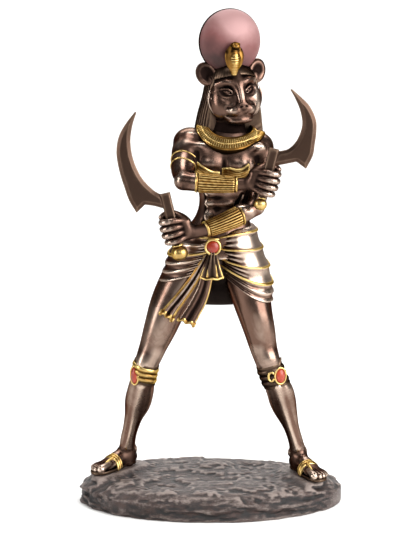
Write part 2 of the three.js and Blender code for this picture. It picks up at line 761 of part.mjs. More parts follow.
function buildSword(sword) {
  const haft = haftPlate(sword, 0, sword.haftTop * UNIT, sword.haftBottom * UNIT);
  const pommel = new THREE.CylinderGeometry(sword.pommel * POMMEL_TAPER, sword.pommel, POMMEL_THICKNESS, 16);
  pommel.translate(0, POMMEL_OVERLAP - sword.haftBottom * UNIT - POMMEL_THICKNESS / 2, 0);
  pommel.applyMatrix4(swordFrame(sword));
  return join([buildBlade(sword), haft, solid(pommel)]);
}

// A closed fist round a haft, seen from the back of the hand. Its outline square to the haft runs
// round from the wrist over the knuckles to the fingertips, as [along the forearm, out to the front].
const FIST_OUTLINE = [
  [-34, 2], [-24, 16], [-10, 23], [6, 23], [19, 15], [24, 0], [18, -14], [4, -20], [-15, -19], [-29, -11],
];
const FINGER_PITCH = 14.5;
const FINGER_GROOVE = 5;
const GROOVE_HALF_PITCH = 0.24;
// The rows across the fingers, [pitches from the middle, how far the outline is pulled in]
const FINGER_ROWS = [
  [-2.2, 10],
  [-1.75, 0],
  ...[-1, 0, 1].flatMap((groove) => [
    [groove - GROOVE_HALF_PITCH, 0],
    [groove, FINGER_GROOVE],
    [groove + GROOVE_HALF_PITCH, 0],
  ]),
  [1.75, 0],
  [2.2, 10],
];
const THUMB = [[-24, 8, 28], [-12, -6, 34], [4, -16, 35], [16, -14, 32]];
const THUMB_RADIUS = 8;

function buildFist(sword) {
  const frame = swordFrame(sword);
  const at = (along, out, up) => {
    const world = new THREE.Vector3(along * UNIT, up * UNIT, 0).applyMatrix4(frame);
    world.y -= out * UNIT;
    return world;
  };
  const rings = FINGER_ROWS.map(([pitch, pull]) => {
    const points = FIST_OUTLINE.map(([along, out]) => {
      const knuckles = pull > FINGER_GROOVE ? 1 : THREE.MathUtils.smoothstep(along, -18, 0);
      const keep = 1 - (pull * knuckles) / Math.hypot(along, out);
      return at(along * keep, out * keep, pitch * FINGER_PITCH);
    });
    return sword.bladeSide > 0 ? points : points.reverse();
  });
  const thumb = THUMB.map(([along, out, up]) => (
    [...thousandths(at(along, out, up)), THUMB_RADIUS, THUMB_RADIUS]
  ));
  const upAxis = new THREE.Vector3(0, 1, 0).transformDirection(frame);
  const boreReach = 4 * FINGER_PITCH * UNIT;
  return join([solid(skin(rings)), loft(thumb, { sides: 6, across: upAxis })])
    .subtract(haftPlate(sword, HAFT_CLEARANCE, boreReach, boreReach));
}

// Rock base: flaky layers, wider than the stance by the named margins, with a smooth pad under each foot
const STANCE_HALF_WIDTH = 253 * UNIT;
const STANCE_HALF_DEPTH = 95 * UNIT;
const BASE_HALF_WIDTH = STANCE_HALF_WIDTH + BASE_SIDE_MARGIN;
const BASE_HALF_DEPTH = STANCE_HALF_DEPTH + BASE_FRONT_MARGIN;
const BASE_SIDES = 36;
const PAD_GROWTH = 9;
// Layers from the underside to the middle of the top, [share of the reach, share of the sole level]
const BASE_LAYERS = [
  [0.985, 0], [1, 0.16], [0.995, 0.5], [0.965, 0.55], [0.955, 0.78],
  [0.9, 0.84], [0.78, 0.82], [0.6, 0.84], [0.56, 0.9],
];
const UNEVEN_FROM = 5;

// How far a ledge of broken rock stands out at an angle, as a share
function ledge(angle, layer) {
  return 1 + 0.018 * Math.sin(3 * angle + layer * 1.7)
    + 0.014 * Math.sin(7 * angle - layer * 2.3)
    + 0.008 * Math.sin(13 * angle + layer * 4.1);
}

function buildBase() {
  const rings = BASE_LAYERS.map(([reach, level], layer) => {
    const points = [];
    for (let side = 0; side < BASE_SIDES; side += 1) {
      const angle = (side / BASE_SIDES) * 2 * Math.PI;
      const radius = Math.min(1, reach * ledge(angle, Math.max(layer, 1)));
      const rise = layer < UNEVEN_FROM ? 1 : ledge(angle * 2, layer);
      points.push(new THREE.Vector3(
        Math.cos(angle) * BASE_HALF_WIDTH * radius,
        Math.sin(angle) * BASE_HALF_DEPTH * radius,
        SOLE_LEVEL * level * rise,
      ));
    }
    return points;
  });
  const sunk = (-SOLE_LEVEL / UNIT) * 0.5;
  const pads = [RIGHT_FOOT, LEFT_FOOT].map((foot) => footSole(foot, PAD_GROWTH, sunk, -CONTACT_GAP / UNIT));
  return join([solid(skin(rings)), ...pads]);
}

const bronze = new THREE.MeshStandardMaterial({ color: 0x5e473f, roughness: 0.38, metalness: 0.85 });
const bladeBronze = new THREE.MeshStandardMaterial({ color: 0x6b5548, roughness: 0.5, metalness: 0.8 });
const rock = new THREE.MeshStandardMaterial({ color: 0x6d6058, roughness: 0.75, metalness: 0.2 });

const cast = join([
  buildBody(), buildFoot(RIGHT_FOOT), buildFoot(LEFT_FOOT), buildHead(), buildEars(), buildWig(), buildDisc(),
  buildCobra(), buildCollar(), buildBands(), buildSkirt(), buildSash(), buildTop(),
  buildFist(SWORD_LEFT), buildFist(SWORD_RIGHT),
]);

const statue = new THREE.Group();
statue.add(
  meshOf("figure", cast, bronze),
  meshOf("khopesh_left_hand", buildSword(SWORD_LEFT), bladeBronze),
  meshOf("khopesh_right_hand", buildSword(SWORD_RIGHT), bladeBronze),
  meshOf("rock_base", buildBase(), rock),
);

export default statue;
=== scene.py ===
"""A standing lioness-headed goddess in cold-cast bronze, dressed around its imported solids.

Shapes are worked out in thousandths of the figure's height, measured up from its soles, and
are blended as clay is: each piece is a field of distances that is meshed once.
"""

import itertools
import logging
import math
from dataclasses import dataclass, field
from enum import Enum
from typing import Callable, Sequence

import bpy
import mathutils
import numpy as np
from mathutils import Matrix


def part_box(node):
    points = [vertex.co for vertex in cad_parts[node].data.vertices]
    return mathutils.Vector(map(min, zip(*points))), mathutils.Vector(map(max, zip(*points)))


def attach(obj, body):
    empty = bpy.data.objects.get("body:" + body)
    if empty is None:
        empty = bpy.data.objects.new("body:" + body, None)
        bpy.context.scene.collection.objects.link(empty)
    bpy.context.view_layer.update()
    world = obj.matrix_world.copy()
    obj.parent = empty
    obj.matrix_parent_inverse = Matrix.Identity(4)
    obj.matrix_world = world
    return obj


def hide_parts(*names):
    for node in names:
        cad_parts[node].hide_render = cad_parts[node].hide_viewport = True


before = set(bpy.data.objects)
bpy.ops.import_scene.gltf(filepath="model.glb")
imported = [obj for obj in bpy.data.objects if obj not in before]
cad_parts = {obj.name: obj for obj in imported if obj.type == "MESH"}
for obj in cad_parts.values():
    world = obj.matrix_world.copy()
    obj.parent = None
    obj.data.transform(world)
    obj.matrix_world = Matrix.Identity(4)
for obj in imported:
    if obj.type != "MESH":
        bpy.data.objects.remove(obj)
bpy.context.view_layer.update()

import openvdb
from bpy.types import Material, Node, NodeSocket, NodeTree, Object

LOG = logging.getLogger("statue")

FIGURE_LOW, FIGURE_HIGH = (np.array(corner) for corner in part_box("figure"))
SOLE_LEVEL = float(FIGURE_LOW[2])
UNIT = float(FIGURE_HIGH[2] - FIGURE_LOW[2]) / 1000.0
MM = 0.001 / UNIT

# A distance that counts as far from a shape, and the share of its faces that a mesh keeps
FAR = 60.0
KEPT_FACES = 0.38
# What a mesh is marked with for its finish: rounds of smoothing, and the height that counts as full. The
# broad hollow mark darkens the casting's wash in hollows and also serves as painted shade there.
SURFACE_MARKS = (("edge", 5, 0.35), ("hollow", 45, 2.6))
# A ring is laid from this far outside a shape, in rounds of steps no longer than this
RING_POINTS = 49
RING_START = 30.0
RING_ROUNDS = 16
RING_STEP = 8.0
SEAT_ROUNDS = 4
# A surface is looked for from this y, until it is this near, in steps between these two
VIEW_START = -130.0
VIEW_ROUNDS = 60
VIEW_NEAR = 0.3
VIEW_STEPS = (0.5, 12.0)
X_AXIS = (1.0, 0.0, 0.0)
Y_AXIS = (0.0, 1.0, 0.0)
Array = np.ndarray
Vector = Sequence[float]
Rows = Sequence[Sequence[float]]
Tone = Callable[[Array], Array]


# Geometry helpers


def unit(vector: Array) -> Array:
    """The vector at length one."""
    return vector / np.linalg.norm(vector)


def turn_matrix(turns: Vector) -> Array:
    """Rotation by degrees about X, then Y, then Z.

    Args:
        turns: the three angles in degrees.

    Returns:
        A 3 by 3 matrix for column vectors.
    """
    x, y, z = (math.radians(angle) for angle in turns)
    about_x = np.array([[1, 0, 0], [0, math.cos(x), -math.sin(x)], [0, math.sin(x), math.cos(x)]])
    about_y = np.array([[math.cos(y), 0, math.sin(y)], [0, 1, 0], [-math.sin(y), 0, math.cos(y)]])
    about_z = np.array([[math.cos(z), -math.sin(z), 0], [math.sin(z), math.cos(z), 0], [0, 0, 1]])
    return about_z @ about_y @ about_x


def smooth_rows(rows: Rows, shares: Array) -> Array:
    """Values on a smooth curve through rows of numbers.

    Args:
        rows: the rows that the curve passes through, evenly spaced in share.
        shares: where to read it, from 0 at the first row to 1 at the last.

    Returns:
        One row per share.
    """
    knots = np.array(rows, float)
    padded = np.vstack([2 * knots[0] - knots[1], knots, 2 * knots[-1] - knots[-2]])
    place = np.clip(shares, 0.0, 1.0) * (len(knots) - 1)
    span = np.minimum(place.astype(int), len(knots) - 2)
    t = (place - span)[:, None]
    before, start, end, after = (padded[span + step] for step in range(4))
    leave, arrive = (end - before) / 2, (after - start) / 2
    cubic = 2 * (start - end) + leave + arrive
    square = -3 * (start - end) - 2 * leave - arrive
    return start + t * (leave + t * (square + t * cubic))


def smooth_line(rows: Rows, count: int) -> Array:
    """A smooth curve through rows as count evenly shared rows."""
    return smooth_rows(rows, np.linspace(0.0, 1.0, count))


def ease(low: float, high: float, value: Array) -> Array:
    """A smooth step from 0 at low to 1 at high."""
    share = np.clip((value - low) / (high - low), 0.0, 1.0)
    return share * share * (3.0 - 2.0 * share)


def blend_min(one: Array, two: Array, blend: float) -> Array:
    """The lesser of two distances, rounded where they meet.

    Args:
        one: first distances.
        two: second distances.
        blend: width of the rounding, 0 for none.

    Returns:
        The joined distances.
    """
    if blend <= 0:
        return np.minimum(one, two)
    near = np.maximum(blend - np.abs(one - two), 0.0) / blend
    return np.minimum(one, two) - near * near * blend * 0.25


def blend_max(one: Array, two: Array, blend: float) -> Array:
    """The greater of two distances, rounded where they meet."""
    return -blend_min(-one, -two, blend)


def oval_distance(offsets: Sequence[Array], radii: Sequence) -> Array:
    """Near distance to an oval or ellipsoid.

    Args:
        offsets: the point's offset along each axis.
        radii: the radius along each axis.

    Returns:
        Distances, negative inside.
    """
    shares = [offset / radius for offset, radius in zip(offsets, radii)]
    level = np.sqrt(sum(share * share for share in shares))
    slope = np.sqrt(sum((share / radius) ** 2 for share, radius in zip(shares, radii)))
    return (level - 1.0) * level / np.maximum(slope, 1e-5)


def polygon_distance(points: Array, outline: Array) -> Array:
    """Signed distance of flat points to a closed outline.

    Args:
        points: points on the plane.
        outline: the corners, in order.

    Returns:
        Distances, negative inside.
    """
    best = np.full(len(points), 1e9)
    inside = np.zeros(len(points), bool)
    for start, end in zip(outline, np.roll(outline, -1, axis=0)):
        way = end - start
        share = np.clip((points - start) @ way / max(float(way @ way), 1e-9), 0.0, 1.0)
        gap = points - start - share[:, None] * way
        best = np.minimum(best, (gap * gap).sum(axis=1))
        if way[1]:
            crosses = (start[1] > points[:, 1]) != (end[1] > points[:, 1])
            inside ^= crosses & (points[:, 0] < start[0] + way[0] * (points[:, 1] - start[1]) / way[1])
    return np.where(inside, -1.0, 1.0) * np.sqrt(best)


def grain(points: Array, size: Vector, seed: int) -> Array:
    """Smooth seeded noise.

    Args:
        points: where to read it.
        size: width of its cells along X, Y and Z.
        seed: picks the pattern.

    Returns:
        Values from -1 to 1.
    """
    cell = points / np.array(size)
    base = np.floor(cell)
    part = cell - base
    part = part * part * (3.0 - 2.0 * part)
    base = base.astype(np.int64)
    total = np.zeros(len(points))
    for corner in itertools.product((0, 1), repeat=3):
        key = base + np.array(corner)
        mixed = key[:, 0] * 73856093 ^ key[:, 1] * 19349663 ^ key[:, 2] * 83492791 ^ seed * 2971
        mixed = (mixed ^ (mixed >> 13)) * 1274126177 & 0xFFFFFFFF
        weight = np.ones(len(points))
        for axis, side in enumerate(corner):
            weight *= part[:, axis] if side else 1.0 - part[:, axis]
        total += weight * (((mixed ^ (mixed >> 16)) & 0xFFFF) / 32767.5 - 1.0)
    return total


# Shapes


class Shape:
    """A form with a box round it, and signed distances of points that are negative inside."""

    low: Array
    high: Array

    def distance(self, points: Array) -> Array:
        """Signed distances of rows of x, y and z."""
        raise NotImplementedError


class Oval(Shape):
    """An ellipsoid."""

    def __init__(self, centre: Vector, radii: Vector, turns: Vector = (0, 0, 0),
                 within: Array | None = None) -> None:
        """Places it.

        Args:
            centre: its middle.
            radii: its radii along its own axes.
            turns: degrees that it is turned by about X, Y and Z.
            within: the rotation of the frame that the turns are given in.
        """
        self.centre = np.array(centre, float)
        self.radii = np.array(radii, float)
        self.turn = turn_matrix(turns) if within is None else within @ turn_matrix(turns)
        reach = np.sqrt(((self.turn * self.radii) ** 2).sum(axis=1))
        self.low = self.centre - reach
        self.high = self.centre + reach

    def distance(self, points: Array) -> Array:
        """Signed distances of points."""
        local = (points - self.centre) @ self.turn
        return oval_distance(local.T, self.radii)


class Cord(Shape):
    """A round strand along points, each with its own radius."""

    def __init__(self, rows: Rows, radius: float | None = None, count: int = 0) -> None:
        """Lays it.

        Args:
            rows: x, y, z and radius of each point.
            radius: one radius for all, for rows without their own.
            count: how many points the smoothed line has, or 0 to keep the corners.
        """
        table = np.array(rows, float)
        if radius is not None:
            table = np.column_stack([table[:, :3], np.full(len(table), radius)])
        self.rows = smooth_line(table, count) if count else table
        reach = self.rows[:, 3:4]
        self.low = (self.rows[:, :3] - reach).min(axis=0)
        self.high = (self.rows[:, :3] + reach).max(axis=0)

    def distance(self, points: Array) -> Array:
        """Signed distances of points.

        Args:
            points: where to measure.

        Returns:
            Distances, negative inside.
        """
        best = np.full(len(points), FAR)
        for start, end in zip(self.rows[:-1], self.rows[1:]):
            way = end[:3] - start[:3]
            share = np.clip((points - start[:3]) @ way / max(float(way @ way), 1e-9), 0.0, 1.0)
            gap = points - start[:3] - share[:, None] * way
            length = np.sqrt((gap * gap).sum(axis=1))
            best = np.minimum(best, length - start[3] - (end[3] - start[3]) * share)
        return best


class Limb(Shape):
    """An oval section swept along stations of x, y, z, half width and half depth."""

    SAMPLES = 64

    def __init__(self, stations: Rows, across: Vector = X_AXIS) -> None:
        """Sweeps it.

        Args:
            stations: x, y, z, half width and half depth of each.
            across: the way that the width runs.
        """
        self.stations = stations
        rows = smooth_line(stations, self.SAMPLES)
        path = rows[:, :3]
        self.girth = rows[:, 3:5]
        self.start = path[0]
        self.axis = unit(path[-1] - path[0])
        sideways = np.array(across, float)
        self.wide = unit(sideways - self.axis * (sideways @ self.axis))
        self.deep = np.cross(self.axis, self.wide)
        offset = path - self.start
        self.run = offset @ self.axis
        self.side = offset @ self.wide
        self.back = offset @ self.deep
        reach = self.girth.max(axis=1)[:, None]
        self.low = (path - reach).min(axis=0)
        self.high = (path + reach).max(axis=0)

    def at(self, share: float) -> Array:
        """The station at a share of the limb."""
        return smooth_rows(self.stations, np.array([share]))[0]

    def run_at(self, share: float) -> float:
        """How far along the limb's axis a share of it lies."""
        return float((self.at(share)[:3] - self.start) @ self.axis)

    def local(self, points: Array) -> tuple[Array, ...]:
        """Points in the limb's own terms.

        Args:
            points: world points.

        Returns:
            Run along the axis, how far beyond its ends, offsets across and back from the middle
            line, and the half width and half depth there.
        """
        offset = points - self.start
        run = offset @ self.axis
        held = np.clip(run, self.run[0], self.run[-1])
        x = offset @ self.wide - np.interp(held, self.run, self.side)
        y = offset @ self.deep - np.interp(held, self.run, self.back)
        wide = np.interp(held, self.run, self.girth[:, 0])
        deep = np.interp(held, self.run, self.girth[:, 1])
        return run, run - held, x, y, wide, deep

    def distance(self, points: Array) -> Array:
        """Signed distances of points."""
        _, beyond, x, y, wide, deep = self.local(points)
        return oval_distance([x, y, beyond], [wide, deep, np.minimum(wide, deep)])


class Band(Shape):
    """A band worn round a limb, from one share of it to another.

    The thickness function gives what it adds to the limb, by share of the band and angle round it.
    """

    MARGIN = 9.0

    def __init__(self, limb: Limb, first: float, last: float,
                 thickness: Callable[[Array, Array], Array | float],
                 rounding: float = 1.0) -> None:
        """Fits it.

        Args:
            limb: what it is worn on.
            first: the share of the limb where it starts.
            last: the share where it ends.
            thickness: what it adds to the limb.
            rounding: how softly its edges turn.
        """
        self.limb = limb
        self.ends = sorted((limb.run_at(first), limb.run_at(last)))
        self.thickness = thickness
        self.rounding = rounding
        middle = [limb.at(share) for share in np.linspace(first, last, 5)]
        reach = max(max(row[3], row[4]) for row in middle) + self.MARGIN
        self.low = np.min([row[:3] for row in middle], axis=0) - reach
        self.high = np.max([row[:3] for row in middle], axis=0) + reach

    def distance(self, points: Array) -> Array:
        """Signed distances of points.

        Args:
            points: where to measure.

        Returns:
            Distances, negative inside.
        """
        run, _, x, y, wide, deep = self.limb.local(points)
        first, last = self.ends
        share = np.clip((run - first) / (last - first), 0.0, 1.0)
        added = self.thickness(share, np.arctan2(y / deep, x / wide))
        radial = oval_distance([x, y], [wide + added, deep + added])
        return blend_max(radial, np.maximum(first - run, run - last), self.rounding)


class Formed(Shape):
    """A shape given by a function of the points, inside a box."""

    def __init__(self, low: Vector, high: Vector, form: Callable[[Array], Array]) -> None:
        """Bounds it.

        Args:
            low: the box's low corner.
            high: the box's high corner.
            form: the distance function.
        """
        self.low = np.array(low, float)
        self.high = np.array(high, float)
        self.form = form

    def distance(self, points: Array) -> Array:
        """Signed distances of points."""
        return self.form(points)


class Mode(Enum):
    """What a shape does to the clay that is there."""

    ADD = "add"
    CUT = "cut"
    KEEP = "keep"


class Clay(Shape):
    """Shapes blended, cut and trimmed in order, then meshed at one voxel size."""

    MARGIN = 6.0

    def __init__(self) -> None:
        """Starts with nothing."""
        self.steps: list[tuple[Mode, Shape, float]] = []
        self.low = np.full(3, np.inf)
        self.high = np.full(3, -np.inf)

    def add(self, *shapes: Shape, blend: float = 0.0) -> "Clay":
        """Joins shapes to the clay.

        Args:
            shapes: what is added.
            blend: how softly it runs into the rest.

        Returns:
            The clay itself.
        """
        for shape in shapes:
            self.steps.append((Mode.ADD, shape, blend))
            self.low = np.minimum(self.low, shape.low)
            self.high = np.maximum(self.high, shape.high)
        return self

    def cut(self, *shapes: Shape, blend: float = 0.0) -> "Clay":
        """Takes shapes out of the clay, with edges rounded by the blend."""
        self.steps += [(Mode.CUT, shape, blend) for shape in shapes]
        return self

    def keep(self, shape: Shape, blend: float = 0.0) -> "Clay":
        """Keeps only what is inside a shape.

        Args:
            shape: what the clay is trimmed to.
            blend: width of the rounding.

        Returns:
            The clay itself.
        """
        self.steps.append((Mode.KEEP, shape, blend))
        self.low = np.maximum(self.low, shape.low)
        self.high = np.minimum(self.high, shape.high)
        return self

    @staticmethod
    def apply(mode: Mode, here: Array, there: Array, blend: float) -> Array:
        """Puts one step's distances to the clay's.

        Args:
            mode: what the step does.
            here: the clay's distances.
            there: the shape's distances.
            blend: width of the rounding.

        Returns:
            The new distances.
        """
        if mode is Mode.ADD:
            return blend_min(here, there, blend)
        if mode is Mode.CUT:
            return blend_max(here, -there, blend)
        return blend_max(here, there, blend)

    def distance(self, points: Array) -> Array:
        """Signed distances of points.

        Args:
            points: where to measure.

        Returns:
            Distances, negative inside.
        """
        result = np.full(len(points), FAR)
        for mode, shape, blend in self.steps:
            margin = 4.0 * self.MARGIN + blend
            inside = (points > shape.low - margin) & (points < shape.high + margin)
            chosen = np.flatnonzero(inside.all(axis=1))
            if mode is Mode.KEEP:
                chosen = np.arange(len(points))
            if chosen.size:
                there = shape.distance(points[chosen])
                result[chosen] = self.apply(mode, result[chosen], there, blend)
        return result

    def mesh(self, voxel: float) -> tuple[Array, Array]:
        """Meshes the surface.

        Args:
            voxel: size of the sampling cells.

        Returns:
            Vertices, and quads that face out.
        """
        origin = self.low - 3.0 * voxel
        count = np.ceil((self.high - self.low) / voxel).astype(int) + 6
        lines = [origin[axis] + voxel * np.arange(count[axis]) for axis in range(3)]
        distances = np.full(tuple(count), FAR, np.float32)
        for mode, shape, blend in self.steps:
            margin = self.MARGIN + blend + 2.0 * voxel
            window = []
            for axis, line in enumerate(lines):
                reach = [shape.low[axis] - margin, shape.high[axis] + margin]
                first, last = np.searchsorted(line, reach)
                window.append(slice(0, count[axis]) if mode is Mode.KEEP else slice(first, last))
            axes = [line[part] for line, part in zip(lines, window)]
            if min(len(axis) for axis in axes) == 0:
                continue
            grid = np.stack(np.meshgrid(*axes, indexing="ij"), axis=-1)
            here = distances[tuple(window)]
            there = shape.distance(grid.reshape(-1, 3)).reshape(here.shape)
            distances[tuple(window)] = self.apply(mode, here, there, blend)
        limit = 3.0 * voxel
        grid = openvdb.FloatGrid(limit)
        grid.copyFromArray(np.clip(distances, -limit, limit), tolerance=0.0)
        points, quads = grid.convertToQuads(isovalue=0.0)
        return origin + points.astype(float) * voxel, quads.astype(np.int64)


def seat(shape: Shape, points: Array, way: Array, gap: float) -> Array:
    """Moves points until they stand off a shape, and never back.

    Args:
        shape: what they stand on.
        points: where they start.
        way: the direction that each moves in.
        gap: how far off the shape they have to be.

    Returns:
        The moved points.
    """
    for _ in range(SEAT_ROUNDS):
        points = points + way * np.maximum(0.0, gap - shape.distance(points))[:, None]
    return points


def ring_on(shape: Shape, centre: Vector, axis: Vector, radius: float) -> Cord:
    """A strand laid round a shape.

    Args:
        shape: what it lies on.
        centre: a point inside the shape.
        axis: the direction that the ring is square to.
        radius: the strand's radius.

    Returns:
        The strand.
    """
    along = unit(np.array(axis, float))
    first = unit(np.cross(along, (1.0, 0.2, 0.0)))
    angle = np.linspace(0.0, 2.0 * math.pi, RING_POINTS)[:, None]
    out = np.cos(angle) * first + np.sin(angle) * np.cross(along, first)
    points = np.array(centre, float) + out * RING_START
    for _ in range(RING_ROUNDS):
        points = points - out * np.clip(shape.distance(points), -RING_STEP, RING_STEP)[:, None]
    return Cord(points, radius)


def front_of(shape: Shape, x: float, z: float) -> float:
    """How far forward a shape's surface is.

    Args:
        shape: the shape.
        x: where to look, across the figure.
        z: where to look, up the figure.

    Returns:
        The surface's y.
    """
    y = VIEW_START
    for _ in range(VIEW_ROUNDS):
        step = float(shape.distance(np.array([[x, y, z]], float))[0])
        if step < VIEW_NEAR:
            break
        y += min(max(step, VIEW_STEPS[0]), VIEW_STEPS[1])
    return y


# Making pieces


def to_world(points: Array) -> Array:
    """Thousandths of the figure's height to metres."""
    return points * UNIT + np.array([0.0, 0.0, SOLE_LEVEL])


def vertex_normals(points: Array, quads: Array) -> Array:
    """The mean direction that each vertex of a mesh faces.

    Args:
        points: vertices of a closed quad mesh.
        quads: its faces.

    Returns:
        Directions of length one.
    """
    corners = points[quads]
    face = np.cross(corners[:, 2] - corners[:, 0], corners[:, 3] - corners[:, 1])
    total = np.zeros_like(points)
    for corner in range(4):
        for axis in range(3):
            total[:, axis] += np.bincount(quads[:, corner], face[:, axis], len(points))
    return total / np.maximum(np.linalg.norm(total, axis=1), 1e-12)[:, None]


def standing_out(points: Array, quads: Array, rounds: int) -> Array:
    """How far each vertex stands out of its smoothed surroundings.

    Args:
        points: vertices of a closed quad mesh.
        quads: its faces.
        rounds: how many times the surroundings are averaged.

    Returns:
        Heights, negative in hollows.
    """
    first = quads.ravel()
    second = np.roll(quads, -1, axis=1).ravel()
    count = np.maximum(np.bincount(first, minlength=len(points)), 1)
    smooth = points.copy()
    for _ in range(rounds):
        smooth = np.column_stack([
            np.bincount(first, smooth[second, axis], len(points)) / count for axis in range(3)
        ])
    return ((points - smooth) * vertex_normals(points, quads)).sum(axis=1)


def ring_quads(rings: int, sides: int, closed: bool) -> Array:
    """Faces of rings of points that are joined in order.

    Args:
        rings: how many rings.
        sides: points in each.
        closed: whether the last ring joins the first.

    Returns:
        Quads that face out when the rings' points run against the clock seen from the last ring.
    """
    first = np.arange(rings if closed else rings - 1)[:, None]
    side = np.arange(sides)[None, :]
    after = (first + 1) % rings
    beside = (side + 1) % sides
    quads = np.stack(np.broadcast_arrays(
        first * sides + side, after * sides + side, after * sides + beside, first * sides + beside), axis=-1)
    return quads.reshape(-1, 4)


def make_piece(name: str, points: Array, quads: Array, finish: "Finish",
               tone: Tone | None = None, node: str = "figure") -> Object:
    """Makes a Blender object from vertices and faces, and ties it to the frame.

    Args:
        name: the piece's name.
        points: its vertices in thousandths.
        quads: its faces.
        finish: what it is made of.
        tone: how much lighter each point is painted above 0, or darker below 0; on many pieces this is
            painted highlight and painted shade.
        node: the CAD node that it stands for.

    Returns:
        The object.
    """
    mesh = bpy.data.meshes.new(name)
    mesh.vertices.add(len(points))
    mesh.vertices.foreach_set("co", to_world(points).astype(np.float32).ravel())
    mesh.loops.add(quads.size)
    mesh.loops.foreach_set("vertex_index", quads.astype(np.int32).ravel())
    mesh.polygons.add(len(quads))
    mesh.polygons.foreach_set("loop_start", np.arange(0, quads.size, quads.shape[1], dtype=np.int32))
    mesh.polygons.foreach_set("use_smooth", np.ones(len(quads), bool))
    mesh.update(calc_edges=True)
    marks = {
        label: np.clip(standing_out(points, quads, rounds) / full, -1.0, 1.0)
        for label, rounds, full in SURFACE_MARKS
    }
    if tone is not None:
        marks["tone"] = tone(points)
    for label, values in marks.items():
        mark = mesh.attributes.new(label, "FLOAT", "POINT")
        mark.data.foreach_set("value", values.astype(np.float32))
    mesh.materials.append(finish.material())
    piece = bpy.data.objects.new(name, mesh)
    bpy.context.scene.collection.objects.link(piece)
    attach(piece, "root")
    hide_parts(node)
    LOG.info("%s: %d vertices, %d faces", name, len(points), len(quads))
    return piece


def evenly(level: float) -> Tone:
    """The same tone at every point of a piece."""
    return lambda points: np.full(len(points), level)


def lighten(piece: Object) -> None:
    """Merges a piece's faces where it is nearly flat.

    Args:
        piece: the piece.
    """
    piece.modifiers.new("lighten", "DECIMATE").ratio = KEPT_FACES
    graph = bpy.context.evaluated_depsgraph_get()
    full, piece.data = piece.data, bpy.data.meshes.new_from_object(piece.evaluated_get(graph))
    piece.modifiers.clear()
    bpy.data.meshes.remove(full)


def make_clay(name: str, form: Shape, voxel: float, finish: "Finish", tone: Tone | None = None,
              node: str = "figure", frame_of: Callable[[Array], Array] | None = None) -> None:
    """Meshes a shape as a piece.

    Args:
        name: the piece's name.
        form: its shape.
        voxel: size of the sampling cells, in thousandths.
        finish: what it is made of.
        tone: how much lighter or darker each point is painted, often as painted highlight and painted shade.
        node: the CAD node that it stands for.
        frame_of: turns the shape's own frame into the figure's, when they differ.
    """
    clay = form if isinstance(form, Clay) else Clay().add(form)
    points, quads = clay.mesh(voxel)
    if frame_of is not None:
        points = frame_of(points)
        sides = frame_of(np.eye(3)) - frame_of(np.zeros((3, 3)))
        if np.linalg.det(sides) < 0:
            quads = quads[:, ::-1]
    lighten(make_piece(name, points, quads, finish, tone, node))


# Finishes


def linear(value: str) -> tuple[float, float, float, float]:
    """An sRGB hex colour as linear red, green, blue and alpha.

    Args:
        value: the colour, as #rrggbb.

    Returns:
        The four shares.
    """
    shares = [int(value[place:place + 2], 16) / 255.0 for place in (1, 3, 5)]
    parts = [share / 12.92 if share <= 0.04045 else ((share + 0.055) / 1.055) ** 2.4 for share in shares]
    return (*parts, 1.0)


def add_node(tree: NodeTree, kind: str, inputs: dict | None = None, **settings: str) -> Node:
    """Adds a node.

    Args:
        tree: the node tree.
        kind: the node's type name.
        inputs: by input, a value to set or a socket to link.
        settings: the node's own settings.

    Returns:
        The node.
    """
    node = tree.nodes.new(kind)
    for name, value in settings.items():
        setattr(node, name, value)
    for socket, value in (inputs or {}).items():
        if isinstance(value, NodeSocket):
            tree.links.new(value, node.inputs[socket])
        else:
            node.inputs[socket].default_value = value
    return node


def set_stops(node: Node, stops: Sequence[tuple[float, str]]) -> NodeSocket:
    """Sets a colour ramp's stops.

    Args:
        node: the ramp.
        stops: places from 0 to 1 and their sRGB hex colours.

    Returns:
        The ramp's colour.
    """
    elements = node.color_ramp.elements
    while len(elements) < len(stops):
        elements.new(0.5)
    for element, (place, colour) in zip(elements, stops):
        element.position = place
        element.color = linear(colour)
    return node.outputs["Color"]


def weigh(tree: NodeTree, shares: Sequence[tuple[str | NodeSocket, float]]) -> NodeSocket:
    """Sums patterns and marks of the mesh, which says where the washed colour stays and where paint rubs off,
    and where shade and highlights are painted.

    Args:
        tree: the material's tree.
        shares: patterns, or the names of marks on the mesh, each with its share.

    Returns:
        The sum.
    """
    total = 0.0
    for source, share in shares:
        if isinstance(source, str):
            source = add_node(tree, "ShaderNodeAttribute", attribute_name=source).outputs["Fac"]
        total = add_node(tree, "ShaderNodeMath", {
            0: source, 1: share, 2: total,
        }, operation="MULTIPLY_ADD").outputs[0]
    return total


@dataclass(frozen=True)
class Finish:
    """What a piece is made of: a material name and a slot name."""

    name: str
    slot: str

    def build(self, tree: NodeTree) -> NodeSocket:
        """Adds the finish's nodes to an empty tree and gives the shader's output."""
        raise NotImplementedError

    def material(self) -> Material:
        """The finish's material, made once.

        Returns:
            The material.
        """
        found = bpy.data.materials.get(self.name)
        if found:
            return found
        material = bpy.data.materials.new(self.name)
        material.use_nodes = True
        tree = material.node_tree
        tree.nodes.clear()
        add_node(tree, "ShaderNodeOutputMaterial", {"Surface": self.build(tree)})
        return material


def metres(millimetres: float) -> float:
    """Cells per metre of a pattern whose cells are so many millimetres wide."""
    return 1000.0 / millimetres


